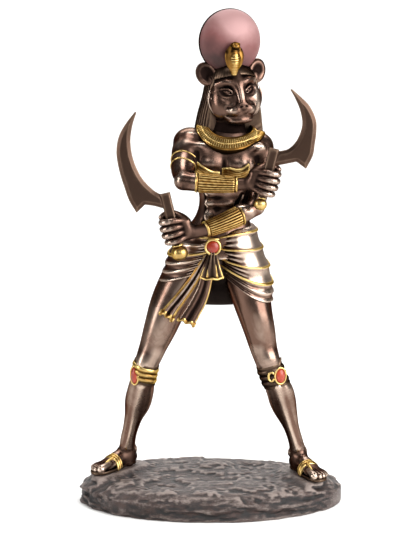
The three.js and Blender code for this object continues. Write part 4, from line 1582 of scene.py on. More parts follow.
@dataclass
class Head:
    """The lioness's head: skull, face and ears, in the head's own frame."""

    voxel: float = 1.0
    right_ear: tuple[float, float] = (53.0, 38.0)
    left_ear: tuple[float, float] = (59.0, 33.0)

    def ear(self, side: int) -> Clay:
        """A round cupped ear.

        Args:
            side: -1 for the head's right, 1 for its left.

        Returns:
            The ear's clay.
        """
        oval, cord = FRAMES.head_oval, FRAMES.head_cord
        x, z = self.right_ear if side < 0 else self.left_ear
        turns = (-6, 28, 12)
        ear = Clay().add(oval((x, -2, z), (22, 10, 27), turns, side))
        ear.cut(oval((x + 1, -14.5, z + 1), (15.5, 9, 20), turns, side), blend=5)
        ear.add(oval((x - 8, -6, z - 12), (10, 7, 12), turns, side), blend=4)
        fold = [[x - 7, -15, z - 12, 1.6], [x - 1, -12, z, 2.0], [x + 7, -11, z + 11, 1.2]]
        ear.cut(cord(fold, side), blend=2)
        ear.cut(cord([[x - 11, -13, z - 2, 1.2], [x - 5, -11, z + 10, 1.4]], side), blend=2)
        return ear

    def eye(self, clay: Clay, side: int) -> None:
        """Sinks a socket and sets the eye, its lids, the tear line and the brow.

        Args:
            clay: the face.
            side: -1 for the head's right, 1 for its left.
        """
        oval, cord = FRAMES.head_oval, FRAMES.head_cord
        clay.cut(oval((26, -51, 3), (19, 14.5, 13), (0, -6, 24), side), blend=8)
        clay.add(oval((25, -37.5, 1), (8.5, 6.5, 5.2), (0, -20, 24), side), blend=1.5)
        upper = [[13, -45.0, -5, 1.0], [18, -45.0, 2.5, 1.5], [27, -42.0, 7.0, 1.8], [37, -34, 6.0, 1.6],
                 [48, -25, 3, 1.0]]
        lower = [[13, -45.0, -5, 1.0], [20, -43.0, -5.0, 1.1], [28, -39.5, -3.0, 1.1], [37, -33, 2.5, 1.0]]
        clay.add(cord(upper, side), blend=1.5)
        clay.add(cord(lower, side), blend=1.5)
        clay.cut(oval((24, -44.4, 1.2), (2.0, 1.8, 2.2), side=side), blend=1)
        clay.cut(cord([[13, -47, -4, 1.0], [12, -54, -14, 1.4], [14, -58, -22, 0.8]], side), blend=2.5)
        brow = [[8, -46, 14, 3.0], [17, -46, 20, 3.6], [30, -39, 22, 3.2], [43, -27, 18, 1.4]]
        clay.add(cord(brow, side), blend=15)

    def muzzle(self, clay: Clay, side: int) -> None:
        """Adds one half of the muzzle with its nostril and mouth line.

        Args:
            clay: the face.
            side: -1 for the head's right, 1 for its left.
        """
        oval, cord = FRAMES.head_oval, FRAMES.head_cord
        clay.add(oval((13, -52, -37), (16.5, 15.5, 12.5), (0, 12, 14), side), blend=6)
        crease = [[12, -53, -6, 1.2], [13, -58.5, -19, 1.6], [21, -60, -27, 1.2], [31, -51, -31, 0.6]]
        clay.cut(cord(crease, side), blend=6)
        clay.cut(oval((6.5, -69.5, -30.5), (3.4, 2.4, 1.8), (0, 24, 0), side), blend=2)
        mouth = [[0, -71, -39, 2.2], [9, -68.5, -48, 2.8], [20, -59, -53, 2.6], [31, -45, -49, 1.6]]
        clay.cut(cord(mouth, side), blend=3)

    def clay(self) -> Clay:
        """Skull, brow, muzzle, eyes, mouth and ears.

        Returns:
            The piece's clay.
        """
        oval, cord = FRAMES.head_oval, FRAMES.head_cord
        clay = Clay().add(oval((0, -4, 2), (46, 46, 46)))
        clay.add(Limb(TORSO[10:]), blend=12)
        clay.add(oval((0, -14, -14), (56, 34, 46)), blend=8)
        clay.add(oval((-1, -22, -40), (50, 28, 27)), blend=10)
        for side in (-1, 1):
            clay.add(oval((30, -26, -24), (21, 19, 22), (0, 10, 20), side), blend=16)
        clay.add(oval((0, -42, -38), (30, 22, 21)), blend=13)
        clay.add(oval((0, -42, -61), (26, 18, 9)), blend=11)
        for side in (-1, 1):
            self.eye(clay, side)
        clay.add(cord([[0, -36, 30, 11], [0, -45, 14, 11], [0, -52, -4, 11], [0, -57, -21, 10.5]]), blend=8)
        clay.add(oval((0, -63.5, -27), (11.5, 6, 6)), blend=4)
        clay.add(oval((0, -65.5, -32), (4.5, 4, 4)), blend=4)
        for side in (-1, 1):
            self.muzzle(clay, side)
        clay.cut(cord([[0, -73, -33.5, 1.2], [0, -71.5, -42, 2.0]]), blend=3)
        for side in (-1, 1):
            clay.add(self.ear(side), blend=4)
            clay.cut(cord([[53, -22, -2, 1.2], [49, -28, -22, 1.8], [42, -32, -40, 1.6]], side), blend=4)
            rim = [[55, -20, 6, 1.0], [59, -19, -8, 1.8], [58, -20, -26, 1.9], [51, -23, -43, 1.0]]
            clay.add(cord(rim, side), blend=4)
        return clay

    @staticmethod
    def tone(points: Array) -> Array:
        """Painted shade in the eye sockets, on the brow, cheeks, nose and muzzle and under the jaw, a painted
        highlight down the left cheek, and the left ear painted lighter than the right.

        Args:
            points: points of the figure.

        Returns:
            The tone at each.
        """
        x, y, z = FRAMES.to_head(points).T
        front = ease(-22.0, -34.0, y)
        socket = np.exp(-((np.abs(x) - 27.0) / 15.0) ** 2 - ((z - 4.0) / 11.0) ** 2) * front
        muzzle = np.exp(-((np.abs(x) - 13.0) / 11.0) ** 2 - ((z + 36.0) / 9.0) ** 2) * front
        ears = ease(14.0, 26.0, z) * ease(34.0, 42.0, np.abs(x))
        cheek = ease(30.0, 46.0, np.abs(x)) * ease(-50.0, -36.0, z) * ease(6.0, -8.0, z)
        nose = np.exp(-(x / 11.0) ** 2 - ((z + 28.0) / 7.0) ** 2) * ease(-56.0, -62.0, y)
        brow = ease(8.0, 20.0, z) * 0.35 + ease(22.0, 32.0, z) * 0.4
        # edge is a painted highlight down the head's left cheek
        edge = np.exp(-((x - 42.0) / 8.0) ** 2) * ease(-60.0, -48.0, z) * ease(26.0, 14.0, z) * front
        jaw = ease(-54.0, -70.0, z)
        dark = socket * 1.3 - ears * 0.15 * np.sign(x) - edge * 0.8 + jaw * 0.9 + cheek * 0.2 + nose * 0.9
        return -0.02 - muzzle * 0.35 - brow - dark

    def build(self) -> None:
        """Makes the head."""
        make_clay("head", self.clay(), self.voxel, BRONZE, self.tone)


@dataclass
class Wig:
    """A wig in fine locks that falls behind the shoulders."""

    voxel: float = 1.45
    locks: int = 50
    depth: float = 1.6
    hairline: float = 33.0
    stations: tuple = (
        (41, 26, 662, 50, 20), (42, 26, 700, 70, 34), (40, 24, 738, 74, 44), (41, 22, 775, 69, 50),
        (43, 19, 812, 61, 54), (45, 17, 848, 55, 54), (44, 15, 872, 44, 46), (42, 12, 888, 24, 26),
    )

    def opening(self, points: Array) -> Array:
        """The space in front of the wig that the face and neck look out of.

        Args:
            points: points of the figure.

        Returns:
            Distances, negative inside the space.
        """
        x, y, z = FRAMES.to_head(points).T
        hairline = self.hairline - 0.004 * x ** 2
        return np.maximum(y + 16.0 + 0.12 * np.minimum(z, 0.0), z - hairline)

    def build(self) -> None:
        """Makes the wig, open round the face and neck."""
        limb = Limb(self.stations)

        def form(points: Array) -> Array:
            """The wig's distance with its locks carved in.

            Args:
                points: where to measure.

            Returns:
                Distances, negative inside.
            """
            run, beyond, x, y, wide, deep = limb.local(points)
            angle = np.arctan2(y / deep, x / wide)
            wave = 0.35 * np.sin(run * 0.05) * ease(0, 60, run)
            lock = np.abs(np.sin((angle * self.locks + wave) / 2.0))
            crown = ease(222, 170, run)
            bare = oval_distance([x, y, beyond], [wide, deep, np.minimum(wide, deep)])
            return bare + self.depth * (1.0 - lock) ** 1.5 * crown

        clay = Clay().add(Formed(limb.low, limb.high, form))
        clay.cut(Formed((-60, -130, 640), (140, 60, 880), self.opening), blend=3)
        make_clay("wig", clay, self.voxel, WIG_BRONZE)


@dataclass
class SunDisc:
    """The sun disc: a thick rose lens in a bronze rim, turned with the head."""

    radius: float = 69.0
    lens_share: float = 0.985
    bulge: float = 34.0
    rim_half: float = 3.0
    rim_deep: float = 4.5
    centre: tuple[float, float, float] = (41.0, 8.0, 931.0)
    sides: int = 160
    steps: int = 40

    def build(self) -> None:
        """Makes the lens and the rim."""
        shares = [math.sin(math.pi / 2 * step / self.steps) for step in range(self.steps + 1)]
        lens = [(share, math.sqrt(max(0.0, 1.0 - share * share))) for share in shares]
        front = [(self.radius * self.lens_share * share, self.bulge * rise) for share, rise in lens]
        self.lathe("sun_disc", front + [(r, -d) for r, d in reversed(front[:-1])], ROSE, tone=self.tone)
        half, middle = self.rim_half, self.radius - self.rim_half
        turn = np.linspace(0.0, 2.0 * math.pi, 21)[:-1]
        ring = [(middle + half * math.cos(a), self.rim_deep * math.sin(a)) for a in turn]
        self.lathe("disc_rim", ring, BRONZE, closed=True)

    def tone(self, points: Array) -> Array:
        """A painted highlight above the middle of the rose paint, and painted shade towards the foot and the
        right side.

        Args:
            points: points of the figure.

        Returns:
            The tone at each.
        """
        x, _, z = (points - np.array(self.centre)).T / self.radius
        pale = 0.26 * np.exp(-((x - 0.15) / 0.4) ** 2 - ((z - 0.45) / 0.36) ** 2)
        return np.clip(0.3 * z + 0.2 * x - 0.17 + pale, -0.45, 0.4)

    def lathe(self, name: str, profile: Sequence[tuple[float, float]], finish: Finish,
              closed: bool = False, tone: Tone | None = None) -> None:
        """Turns a profile of radius and depth about the disc's axis.

        Args:
            name: the piece's name.
            profile: radius and depth of each ring.
            finish: what it is made of.
            closed: whether the profile closes on itself.
            tone: how light the paint is at each point.
        """
        angles = np.linspace(0.0, 2.0 * math.pi, self.sides, endpoint=False)
        rows = np.array(profile)
        rings = np.stack([
            np.outer(rows[:, 0], np.cos(angles)),
            np.repeat(-rows[:, 1:2], self.sides, axis=1),
            np.outer(rows[:, 0], np.sin(angles)),
        ], axis=-1)
        turn = turn_matrix((0, 0, FRAMES.head_yaw))
        points = rings.reshape(-1, 3) @ turn.T + np.array(self.centre)
        make_piece(name, points, ring_quads(len(rows), self.sides, closed), finish, tone)


@dataclass
class Cobra:
    """The rearing cobra on the brow: hood, ribbed belly and small head.

    Hood rows are x, y, z, half width and half depth in the head's frame. Belly and back rows are
    x, y, z and radius.
    """

    voxel: float = 0.75
    ribs: int = 8
    hood: tuple = (
        (-7, -40, 38, 6, 7), (-7, -43, 45, 10, 7), (-6, -45, 56, 17, 6.5), (-5, -46, 68, 20.5, 6.5),
        (-4, -46, 79, 20.5, 6), (-3, -46, 89, 16, 6), (-2, -45, 96, 9, 6),
    )
    belly: tuple = (
        (-7, -44, 38, 6.5), (-6, -46, 54, 9.5), (-5, -47, 68, 11.5), (-4, -46, 80, 9.0),
        (-2, -47, 93, 6.0),
    )
    back: tuple = ((-6, -34, 32, 7), (-5, -38, 60, 6), (-3, -39, 88, 5))

    def build(self) -> None:
        """Makes the cobra in gold, and the bronze that joins its back to the wig."""
        oval, cord = FRAMES.head_oval, FRAMES.head_cord
        rows = [[*FRAMES.head([row[:3]])[0], *row[3:]] for row in self.hood]
        clay = Clay().add(Limb(rows, FRAMES.head_turn() @ np.array(X_AXIS)))
        clay.add(cord(self.belly), blend=3)
        for side in (-1, 1):
            hollow = [[side * 12 - 4, -57, 76, 2.4], [side * 9 - 3, -57, 85, 4.0],
                      [side * 7 - 2, -54, 92, 2.4]]
            clay.cut(cord(hollow), blend=3)
        for rib in range(self.ribs):
            z = 44 + rib * 5.0
            x = -6.5 + rib * 0.4
            seam = [[x - 11, -54, z, 1.2], [x, -59, z - 1.5, 1.2], [x + 11, -54, z, 1.2]]
            clay.cut(cord(seam, count=6), blend=1.5)
        clay.add(oval((-1, -52, 96), (8.5, 11, 6.5), (12, 0, 0)), blend=3)
        for side in (-1, 1):
            clay.add(oval((side * 6 - 1, -55, 99), (2.2, 2.6, 2.2)), blend=1)
        make_clay("brow_cobra", clay, self.voxel, GOLD, self.tone)
        make_clay("brow_cobra_back", cord(self.back), 1.2, BRONZE)

    @staticmethod
    def tone(points: Array) -> Array:
        """Painted shade on the hood's edges and towards its head, so that the belly stands out."""
        x, _, z = FRAMES.to_head(points).T
        return 0.1 - 0.7 * ease(12.0, 18.0, np.abs(x + 4.0)) - 0.7 * ease(76.0, 86.0, z)


@dataclass(frozen=True)
class CollarEdge:
    """One edge of the collar: its ring's middle, half width and half depth, and its heights.

    Heights are those in front, at the sides and at the back. The tilt is how much higher its right
    side is than the middle.
    """

    centre: tuple[float, float]
    size: tuple[float, float]
    heights: tuple[float, float, float]
    tilt: float
    flatness: float = 0.02

    def points(self, angle: Array) -> Array:
        """Points of the edge.

        Args:
            angle: where round the neck, 0 at the figure's left.

        Returns:
            Rows of x, y and z.
        """
        front, side, back = self.heights
        forward = np.sqrt(np.sin(angle) ** 2 + self.flatness) / math.sqrt(1.0 + self.flatness)
        end = np.where(np.sin(angle) < 0.0, front, back)
        rise = side + (end - side) * forward - self.tilt * np.cos(angle) * (1.0 - forward)
        x, y = (
            middle + half * turn
            for middle, half, turn in zip(self.centre, self.size, (np.cos(angle), np.sin(angle)))
        )
        return np.column_stack([x, y, rise])


@dataclass
class Collar:
    """The broad collar: rows of long beads between corded borders, laid over the shoulders."""

    thickness: float = 2.6
    beads: int = 78
    around: int = 540
    across: int = 34
    soften: int = 16
    gap: float = 0.8
    bead_height: float = 0.9
    cords: tuple = (0.05, 0.17, 0.83, 0.95)
    inner: CollarEdge = CollarEdge((42, 2), (46, 38), (734, 757, 757), 7.0)
    outer: CollarEdge = CollarEdge((40, 4), (69, 58), (704, 745, 730), 13.0)

    def build(self, trunk: Clay) -> None:
        """Makes the collar as one closed ring.

        Args:
            trunk: the shoulders and chest that it lies on.
        """
        angle = np.linspace(0.0, 2.0 * math.pi, self.around, endpoint=False)
        inner, outer = self.inner.points(angle), self.outer.points(angle)
        outward = np.column_stack([np.cos(angle), np.sin(angle), np.zeros_like(angle)])
        lift = outward * 0.9 + np.array([0.0, 0.0, 1.0])
        lift /= np.linalg.norm(lift, axis=1)[:, None]
        bead = np.abs(np.sin(angle * self.beads / 2.0)) ** 0.6
        steps = range(-self.soften, self.soften + 1)
        rows = []
        for s in np.linspace(0.0, 1.0, self.across):
            border = sum(math.exp(-((s - at) / 0.035) ** 2) for at in self.cords)
            beaded = float(ease(0.19, 0.24, np.array(s)) * ease(0.81, 0.76, np.array(s)))
            split = 1.0 - 0.8 * math.exp(-((s - 0.5) / 0.025) ** 2)
            height = self.thickness * (1.0 - (2.0 * abs(s - 0.5)) ** 8) + border * 0.8
            height = height + beaded * bead * self.bead_height * split
            bare = inner * (1 - s) + outer * s
            raised = ((seat(trunk, bare, lift, self.gap) - bare) * lift).sum(axis=1)
            even = sum(np.roll(raised, step) for step in steps) / len(steps)
            rows.append(bare + lift * (np.clip(even, raised, raised + 2.0) + height)[:, None])
        # The underside, sunk into the shoulders
        rows.append(rows[-1] - outward * 10 - np.array([0, 0, 7.0]))
        rows.append(inner + outward * 4 - np.array([0, 0, 16.0]))
        quads = ring_quads(len(rows), self.around, True)[:, ::-1]
        make_piece("broad_collar", np.concatenate(rows), quads, GOLD, evenly(0.4))


@dataclass
class ArmBands:
    """Fluted bracers on the forearms and plain bands on the upper arms."""

    voxel: float = 0.95
    flutes: int = 22

    def bracer(self, name: str, limb: Limb, first: float, last: float) -> None:
        """Makes one bracer.

        Args:
            name: the piece's name.
            limb: the forearm.
            first: the share at its elbow end.
            last: the share at its wrist end.
        """
        def thickness(share: Array, angle: Array) -> Array:
            """Two corded rims, and rounded flutes between them.

            Args:
                share: share of the band.
                angle: angle round the limb.

            Returns:
                What the band adds there.
            """
            rim = np.exp(-((share - 0.035) / 0.03) ** 2) + np.exp(-((share - 0.965) / 0.03) ** 2)
            between = ease(0.06, 0.1, share) * ease(0.94, 0.9, share)
            return 1.6 + rim * 1.9 + between * 2.0 * np.abs(np.sin(angle * self.flutes / 2.0)) ** 0.8

        make_clay(name, Band(limb, first, last, thickness), self.voxel, GOLD, evenly(-0.3))

    @staticmethod
    def armlet(name: str, arm: Clay, middles: Rows, axis: Vector) -> None:
        """Makes the gold cords that edge the band on an upper arm.

        Args:
            name: the piece's name.
            arm: the modelled arm that they lie on.
            middles: a point in the arm at each cord.
            axis: the direction that the cords are square to.
        """
        cords = Clay().add(*(ring_on(arm, middle, axis, 1.8) for middle in middles))
        make_clay(name, cords, 0.9, GOLD, evenly(-0.5))

    def build(self) -> None:
        """Makes all four bands."""
        self.bracer("bracer_right", Limb(RIGHT_FOREARM, Y_AXIS), 0.235, 0.73)
        self.bracer("bracer_left", Limb(LEFT_FOREARM, Y_AXIS), 0.27, 0.72)
        body = Body()
        self.armlet("armlet_right", body.right_arm(), ((-53, -30, 680), (-55, -44, 668)), (0.2, 0.8, 0.55))
        self.armlet("armlet_left", body.left_arm(), ((107, 0, 668), (106, -8, 648)), (0.0, 0.3, 1.0))


@dataclass
class SkirtSide:
    """One thigh's wrap of the skirt, draped from the knot at the front round to the back.

    Ovals are x, y, z, half width and half depth. Folds are the heights of each fold's line at the
    knot, at the outer side and at the back.
    """

    name: str
    outer: int
    sag: float
    ovals: Rows
    folds: Rows
    gold: tuple[int, ...]
    shine: float
    voxel: float = 1.4
    roll: float = 2.0
    roll_width: float = 3.4

    def read(self, points: Array) -> tuple[Array, ...]:
        """Reads the drape at points.

        Args:
            points: where.

        Returns:
            Distance to the bare oval, the fold number, the gap between folds there, and how far
            inward towards the knot.
        """
        table = np.array(self.ovals[::-1], float)
        x, y, wide, deep = (
            np.interp(points[:, 2], table[:, 2], table[:, column]) for column in (0, 1, 3, 4)
        )
        sideways = (points[:, 0] - x) / wide * self.outer
        forward = -(points[:, 1] - y) / deep
        radius = np.maximum(np.hypot(sideways, forward), 1e-6)
        cosine, sine = sideways / radius, forward / radius
        inward = (1.0 - cosine) / 2.0
        behind = np.maximum(0.0, -sine)
        heights = [
            side + (knot - side) * inward ** self.sag * (1.0 - behind) + (back - side) * behind
            for knot, side, back in self.folds
        ]
        z = points[:, 2]
        number = np.zeros(len(points))
        gap = np.full(len(points), 10.0)
        last = len(heights) - 2
        for index, (upper, lower) in enumerate(zip(heights[:-1], heights[1:])):
            space = np.maximum(upper - lower, 2.5)
            passed = (upper - z) / space
            number += np.clip(passed, 0.0 if index else None, None if index == last else 1.0)
            gap = np.where((passed > -0.5) & (z >= lower - space * 0.5), space, gap)
        bare = oval_distance([points[:, 0] - x, points[:, 1] - y], [wide, deep])
        return bare, number, gap, inward

    def swell(self, number: Array, gap: Array, inward: Array) -> Array:
        """How far the cloth stands out of the bare oval.

        Args:
            number: fold numbers.
            gap: the gap between folds at each.
            inward: how far towards the knot each is.

        Returns:
            Heights.
        """
        off = (number - np.round(number)) * gap
        roll = self.roll * np.exp(-(off / self.roll_width) ** 2) * np.clip(gap / 12.0, 0.35, 1.0)
        pleats = 1.7 * np.cos(number * 6.0 * math.pi) * ease(0.35, 0.7, inward)
        hang = 0.6 * np.cos(number * 2.0 * math.pi)
        return 1.0 + roll + pleats + hang

    def form(self, points: Array) -> Array:
        """The cloth's distance, between its belt and its hem.

        Args:
            points: where.

        Returns:
            Distances, negative inside.
        """
        bare, number, gap, inward = self.read(points)
        cloth = bare - self.swell(number, gap, inward)
        above = (-0.25 - number) * gap * 0.8
        below = (number - (len(self.folds) - 1) - 0.12) * gap * 0.8
        return blend_max(cloth, np.maximum(above, below), 4.0)

    def tone(self, points: Array) -> Array:
        """A painted highlight on the cloth over the thigh, and painted shade towards the knot."""
        inward = self.read(points)[3]
        return self.shine * ease(0.62, 0.25, inward) - 0.9 * ease(0.45, 0.75, inward)

    def cord(self, index: int) -> Callable[[Array], Array]:
        """A gold cord along one fold's ridge.

        Args:
            index: the fold's number.

        Returns:
            A function that gives the distance to it.
        """
        def form(points: Array) -> Array:
            """Distance to the cord.

            Args:
                points: where to measure.

            Returns:
                Distances, negative inside.
            """
            bare, number, gap, inward = self.read(points)
            ridge = bare - self.swell(np.full(len(points), float(index)), gap, inward)
            size = 1.9 + 0.6 * np.clip(gap / 14.0, 0.0, 1.0)
            return np.hypot((number - index) * gap, ridge + 0.6) - size
        return form

    def build(self) -> None:
        """Makes the cloth and its gold cords."""
        heights = np.array(self.folds, float)
        ovals = np.array(self.ovals, float)
        reach = ovals[:, 3:].max() + 10
        low = [ovals[:, 0].min() - reach, ovals[:, 1].min() - reach, heights.min() - 8]
        high = [ovals[:, 0].max() + reach, ovals[:, 1].max() + reach, heights.max() + 14]
        make_clay(self.name, Formed(low, high, self.form), self.voxel, BRONZE, self.tone)
        cords = Clay()
        for index in self.gold:
            rows = heights[index]
            cords.add(Formed([*low[:2], rows.min() - 8], [*high[:2], rows.max() + 8], self.cord(index)))
        make_clay(f"{self.name}_cords", cords, 1.0, GOLD, evenly(-0.35))


SKIRT_RIGHT = SkirtSide(
    name="skirt_right", outer=-1, sag=1.2, gold=(0, 2), shine=0.2,
    ovals=[[6, 10, 545, 54, 52], [-21, 11, 495, 60, 64], [-35, 10, 470, 56, 60], [-48, 9, 443, 51, 56],
           [-61, 8, 417, 49, 54], [-73, 6, 385, 46, 50]],
    folds=[[514, 528, 540], [507, 506, 516], [499, 480, 496], [490, 462, 478], [478, 443, 458],
           [458, 424, 428]],
)
SKIRT_LEFT = SkirtSide(
    name="skirt_left", outer=1, sag=2.2, gold=(0, 1, 2, 3), shine=0.7,
    ovals=[[41, 10, 545, 53, 52], [51, 11, 497, 58, 64], [68, 9, 457, 56, 60], [78, 8, 430, 52, 56],
           [86, 5, 404, 48, 53], [91, 2, 370, 42, 48]],
    folds=[[512, 532, 538], [502, 495, 508], [490, 455, 476], [480, 418, 446], [468, 399, 414],
           [452, 381, 386]],
)


@dataclass
class Sash:
    """The sash: a pleated knot under the belt stone, two hanging ends, and the panel behind."""

    ends: tuple = (
        ((-4, 488, 6), (-23, 452, 7.5), (-43, 420, 9), (-63, 393, 10.5), (-80, 372, 12), (-93, 354, 14)),
        ((2, 486, 8), (-5, 450, 11), (-13, 415, 13), (-24, 387, 15), (-38, 362, 16), (-51, 340, 17)),
    )

    def end(self, name: str, rows: Rows, leg: Limb, trims: Sequence[float], trim: float,
            fold: float) -> None:
        """Makes one hanging end and the gold cords on it.

        Args:
            name: the piece's name.
            rows: x, z and half width down the end.
            leg: the thigh that it lies on.
            trims: where across the end a cord runs down it, from -1 to 1.
            trim: the cords' radius.
            fold: how deep its pleats are at the foot.
        """
        stations = [[x, min(-48.0, front_of(leg, x, z) - 4.0) - step, z, wide, 5.0]
                    for step, (x, z, wide) in enumerate(rows)]
        limb = Limb(stations)

        def read(points: Array) -> tuple[Array, ...]:
            """Reads the ribbon at points.

            Args:
                points: points of the figure.

            Returns:
                Run, offset across, offset from the pleated sheet, half width, and run past the hem.
            """
            run, _, x, y, wide, _ = limb.local(points)
            wave = np.cos(np.clip(x / wide, -1.0, 1.0) * 2.0 * math.pi)
            sheet = y + wave * fold * (0.3 + 0.7 * ease(0.0, 60.0, run))
            return run, x, sheet, wide, run - limb.run[-1] - 2.0 * wave

        def form(points: Array) -> Array:
            """The ribbon's distance.

            Args:
                points: where to measure.

            Returns:
                Distances, negative inside.
            """
            run, x, sheet, wide, left = read(points)
            flat = blend_max(np.abs(x) - wide, np.abs(sheet) - 2.8, 1.5)
            return blend_max(flat, np.maximum(-run, left), 1.5)

        def border(points: Array) -> Array:
            """Distance to the cords down the ribbon and along its foot.

            Args:
                points: where to measure.

            Returns:
                Distances, negative inside.
            """
            run, x, sheet, wide, left = read(points)
            lines = [np.hypot(x - wide * place * 0.94, sheet * 0.8) for place in trims]
            down = np.maximum(np.minimum.reduce(lines), left)
            hem = np.maximum(np.hypot((left + 4.0) * 0.7, sheet * 0.75), np.abs(x) - wide)
            return np.maximum(blend_min(down, hem - 1.0, 1.0) - trim, -run)

        low, high = limb.low - 6, limb.high + 6
        make_clay(name, Formed(low, high, form), 1.1, BRONZE, evenly(-0.6))
        make_clay(f"{name}_trim", Formed(low, high, border), 0.9, GOLD, evenly(-0.3))

    @staticmethod
    def pleated(limb: Limb, count: int, depth: float) -> Formed:
        """A limb with rounded pleats down its length.

        Args:
            limb: the limb.
            count: how many pleats go round it.
            depth: how deep they are.

        Returns:
            The pleated shape.
        """
        def form(points: Array) -> Array:
            """The pleated distance.

            Args:
                points: where to measure.

            Returns:
                Distances, negative inside.
            """
            _, beyond, x, y, wide, deep = limb.local(points)
            pleats = depth * np.cos(np.arctan2(y / deep, x / wide) * count)
            return oval_distance([x, y, beyond * 2], [wide, deep, np.minimum(wide, deep)]) - pleats
        return Formed(limb.low - 4, limb.high + 4, form)

    def build(self) -> None:
        """Makes the ends, the knot with its stone, the back panel and the lining, the last two nearly black
        as painted shade.
        """
        leg = Limb(RIGHT_LEG)
        outer, inner = self.ends
        self.end("sash_end_outer", outer, leg, (-1.0, 1.0), 3.0, 2.0)
        self.end("sash_end_inner", inner, leg, (1.0,), 2.4, 0.9)
        knot = Limb([[6, -56, 502, 8, 9], [5, -60, 478, 13, 9], [4, -62, 458, 19, 8], [4, -61, 441, 23, 6]])
        make_clay("sash_knot", self.pleated(knot, 10, 1.2), 1.0, WIG_BRONZE)
        cords = Clay()
        for share in (-1.0, -0.45, 0.5, 1.0):
            away = abs(share)
            cords.add(Cord([
                [6 + share * 6, -64 + away * 6, 494, 2.0], [5 + share * 11, -69 + away * 8, 474, 2.4],
                [4 + share * 17, -71 + away * 9, 456, 2.6], [4 + share * 23, -70 + away * 9, 439, 2.8],
            ], count=10))
        foot = [[-19, -61, 440], [-8, -68, 437], [4, -70, 439], [15, -68, 437], [27, -61, 440]]
        cords.add(Cord(foot, 2.6, 10))
        make_clay("sash_knot_trim", cords, 0.9, GOLD, evenly(-0.3))
        # The back panel and the lining under the skirt are nearly black as painted shade
        rows = [[14, 62, 500, 40, 12], [16, 60, 450, 44, 12], [20, 54, 400, 46, 9], [22, 52, 364, 48, 6]]
        clay = Clay().add(self.pleated(Limb(rows), 14, 1.4))
        clay.keep(Formed((-60, -40, 352), (110, 110, 520), lambda points: 360 - points[:, 2]))
        make_clay("back_panel", clay, 1.4, SHADE_BRONZE)
        core = [[13, 6, 500, 40, 48], [15, 10, 450, 36, 44], [18, 30, 400, 34, 20], [21, 42, 362, 40, 10]]
        lining = Clay().add(Limb(core))
        lining.keep(Formed((-60, -60, 356), (110, 90, 510), lambda points: 362 - points[:, 2]), blend=3)
        make_clay("skirt_lining", lining, 1.8, SHADE_BRONZE)
        self.stone("belt_stone", (6, -62, 505), (13.5, 8, 13.5), 4.0, 0.0)

    @staticmethod
    def stone(name: str, centre: Vector, radii: Vector, rim: float, yaw: float) -> None:
        """Makes an oval stone in a corded gold setting.

        Args:
            name: the pieces' name.
            centre: the stone's middle.
            radii: its half width, how far it stands out, and its half height.
            rim: width of the setting.
            yaw: degrees that it is turned by.
        """
        make_clay(name, Oval(centre, radii, (0, 0, yaw)), 0.9, ENAMEL)
        turn = turn_matrix((0, 0, yaw))

        def form(points: Array) -> Array:
            """Distance to the setting's ring and its back plate.

            Args:
                points: where to measure.

            Returns:
                Distances, negative inside.
            """
            local = (points - np.array(centre)) @ turn
            flat = oval_distance([local[:, 0], local[:, 2]], [radii[0] + rim * 0.5, radii[2] + rim * 0.5])
            ring = np.hypot(flat, (local[:, 1] + radii[1] * 0.25)) - rim * 0.62
            plate = np.maximum(flat, np.abs(local[:, 1] - 3.5) - 3.5)
            return blend_min(ring, plate, 1.5)

        reach = max(radii) + rim + 6
        setting = Formed(np.array(centre) - reach, np.array(centre) + reach, form)
        make_clay(f"{name}_setting", setting, 0.9, GOLD)


@dataclass
class Garters:
    """Knee garters: three gold cords round the leg, a stone in a setting, and a flared tip."""

    def build(self) -> None:
        """Makes both garters, and on the left one a scroll and a flared tip beside the stone."""
        self.garter("garter_right", Limb(RIGHT_LEG), (0.385, 0.465), (-161, -20, 219), (9.0, 8, 18.5),
                    -34.0, GOLD)
        self.garter("garter_left", Limb(LEFT_LEG), (0.41, 0.49), (150, -37, 222), (11.0, 8, 16.0),
                    22.0, WIG_BRONZE)
        turn = np.linspace(0.25, 1.8, 14) * math.pi
        scroll = Cord([[131 + 6 * math.cos(a), -44, 221 + 10 * math.sin(a), 2.3] for a in turn])
        make_clay("garter_left_scroll", scroll, 0.95, GOLD)
        tip = [[138, -34, 234, 5], [145, -30, 244, 6], [150, -25, 253, 3.5], [152, -22, 259, 1.5]]
        make_clay("garter_left_tip", Cord(tip, count=12), 1.1, WIG_BRONZE)

    def garter(self, name: str, leg: Limb, shares: Vector, stone: Vector, radii: Vector, yaw: float,
               finish: Finish) -> None:
        """Makes one garter.

        Args:
            name: the piece's name.
            leg: the leg it is worn on.
            shares: where on the leg it starts and ends.
            stone: the stone's middle.
            radii: the stone's radii.
            yaw: how the stone is turned.
            finish: what the cords are painted with.
        """
        def thickness(share: Array, angle: Array) -> Array:
            """Three rounded cords."""
            return 1.6 + 2.6 * np.abs(np.sin(share * 3.0 * math.pi)) ** 0.7

        first, last = shares
        make_clay(name, Band(leg, first, last, thickness), 0.95, finish)
        edge = Band(leg, first - 0.014, last + 0.016, lambda share, angle: 1.8, 1.5)
        make_clay(f"{name}_lining", edge, 1.3, WIG_BRONZE)
        Sash.stone(f"{name}_stone", stone, radii, 3.2, yaw)


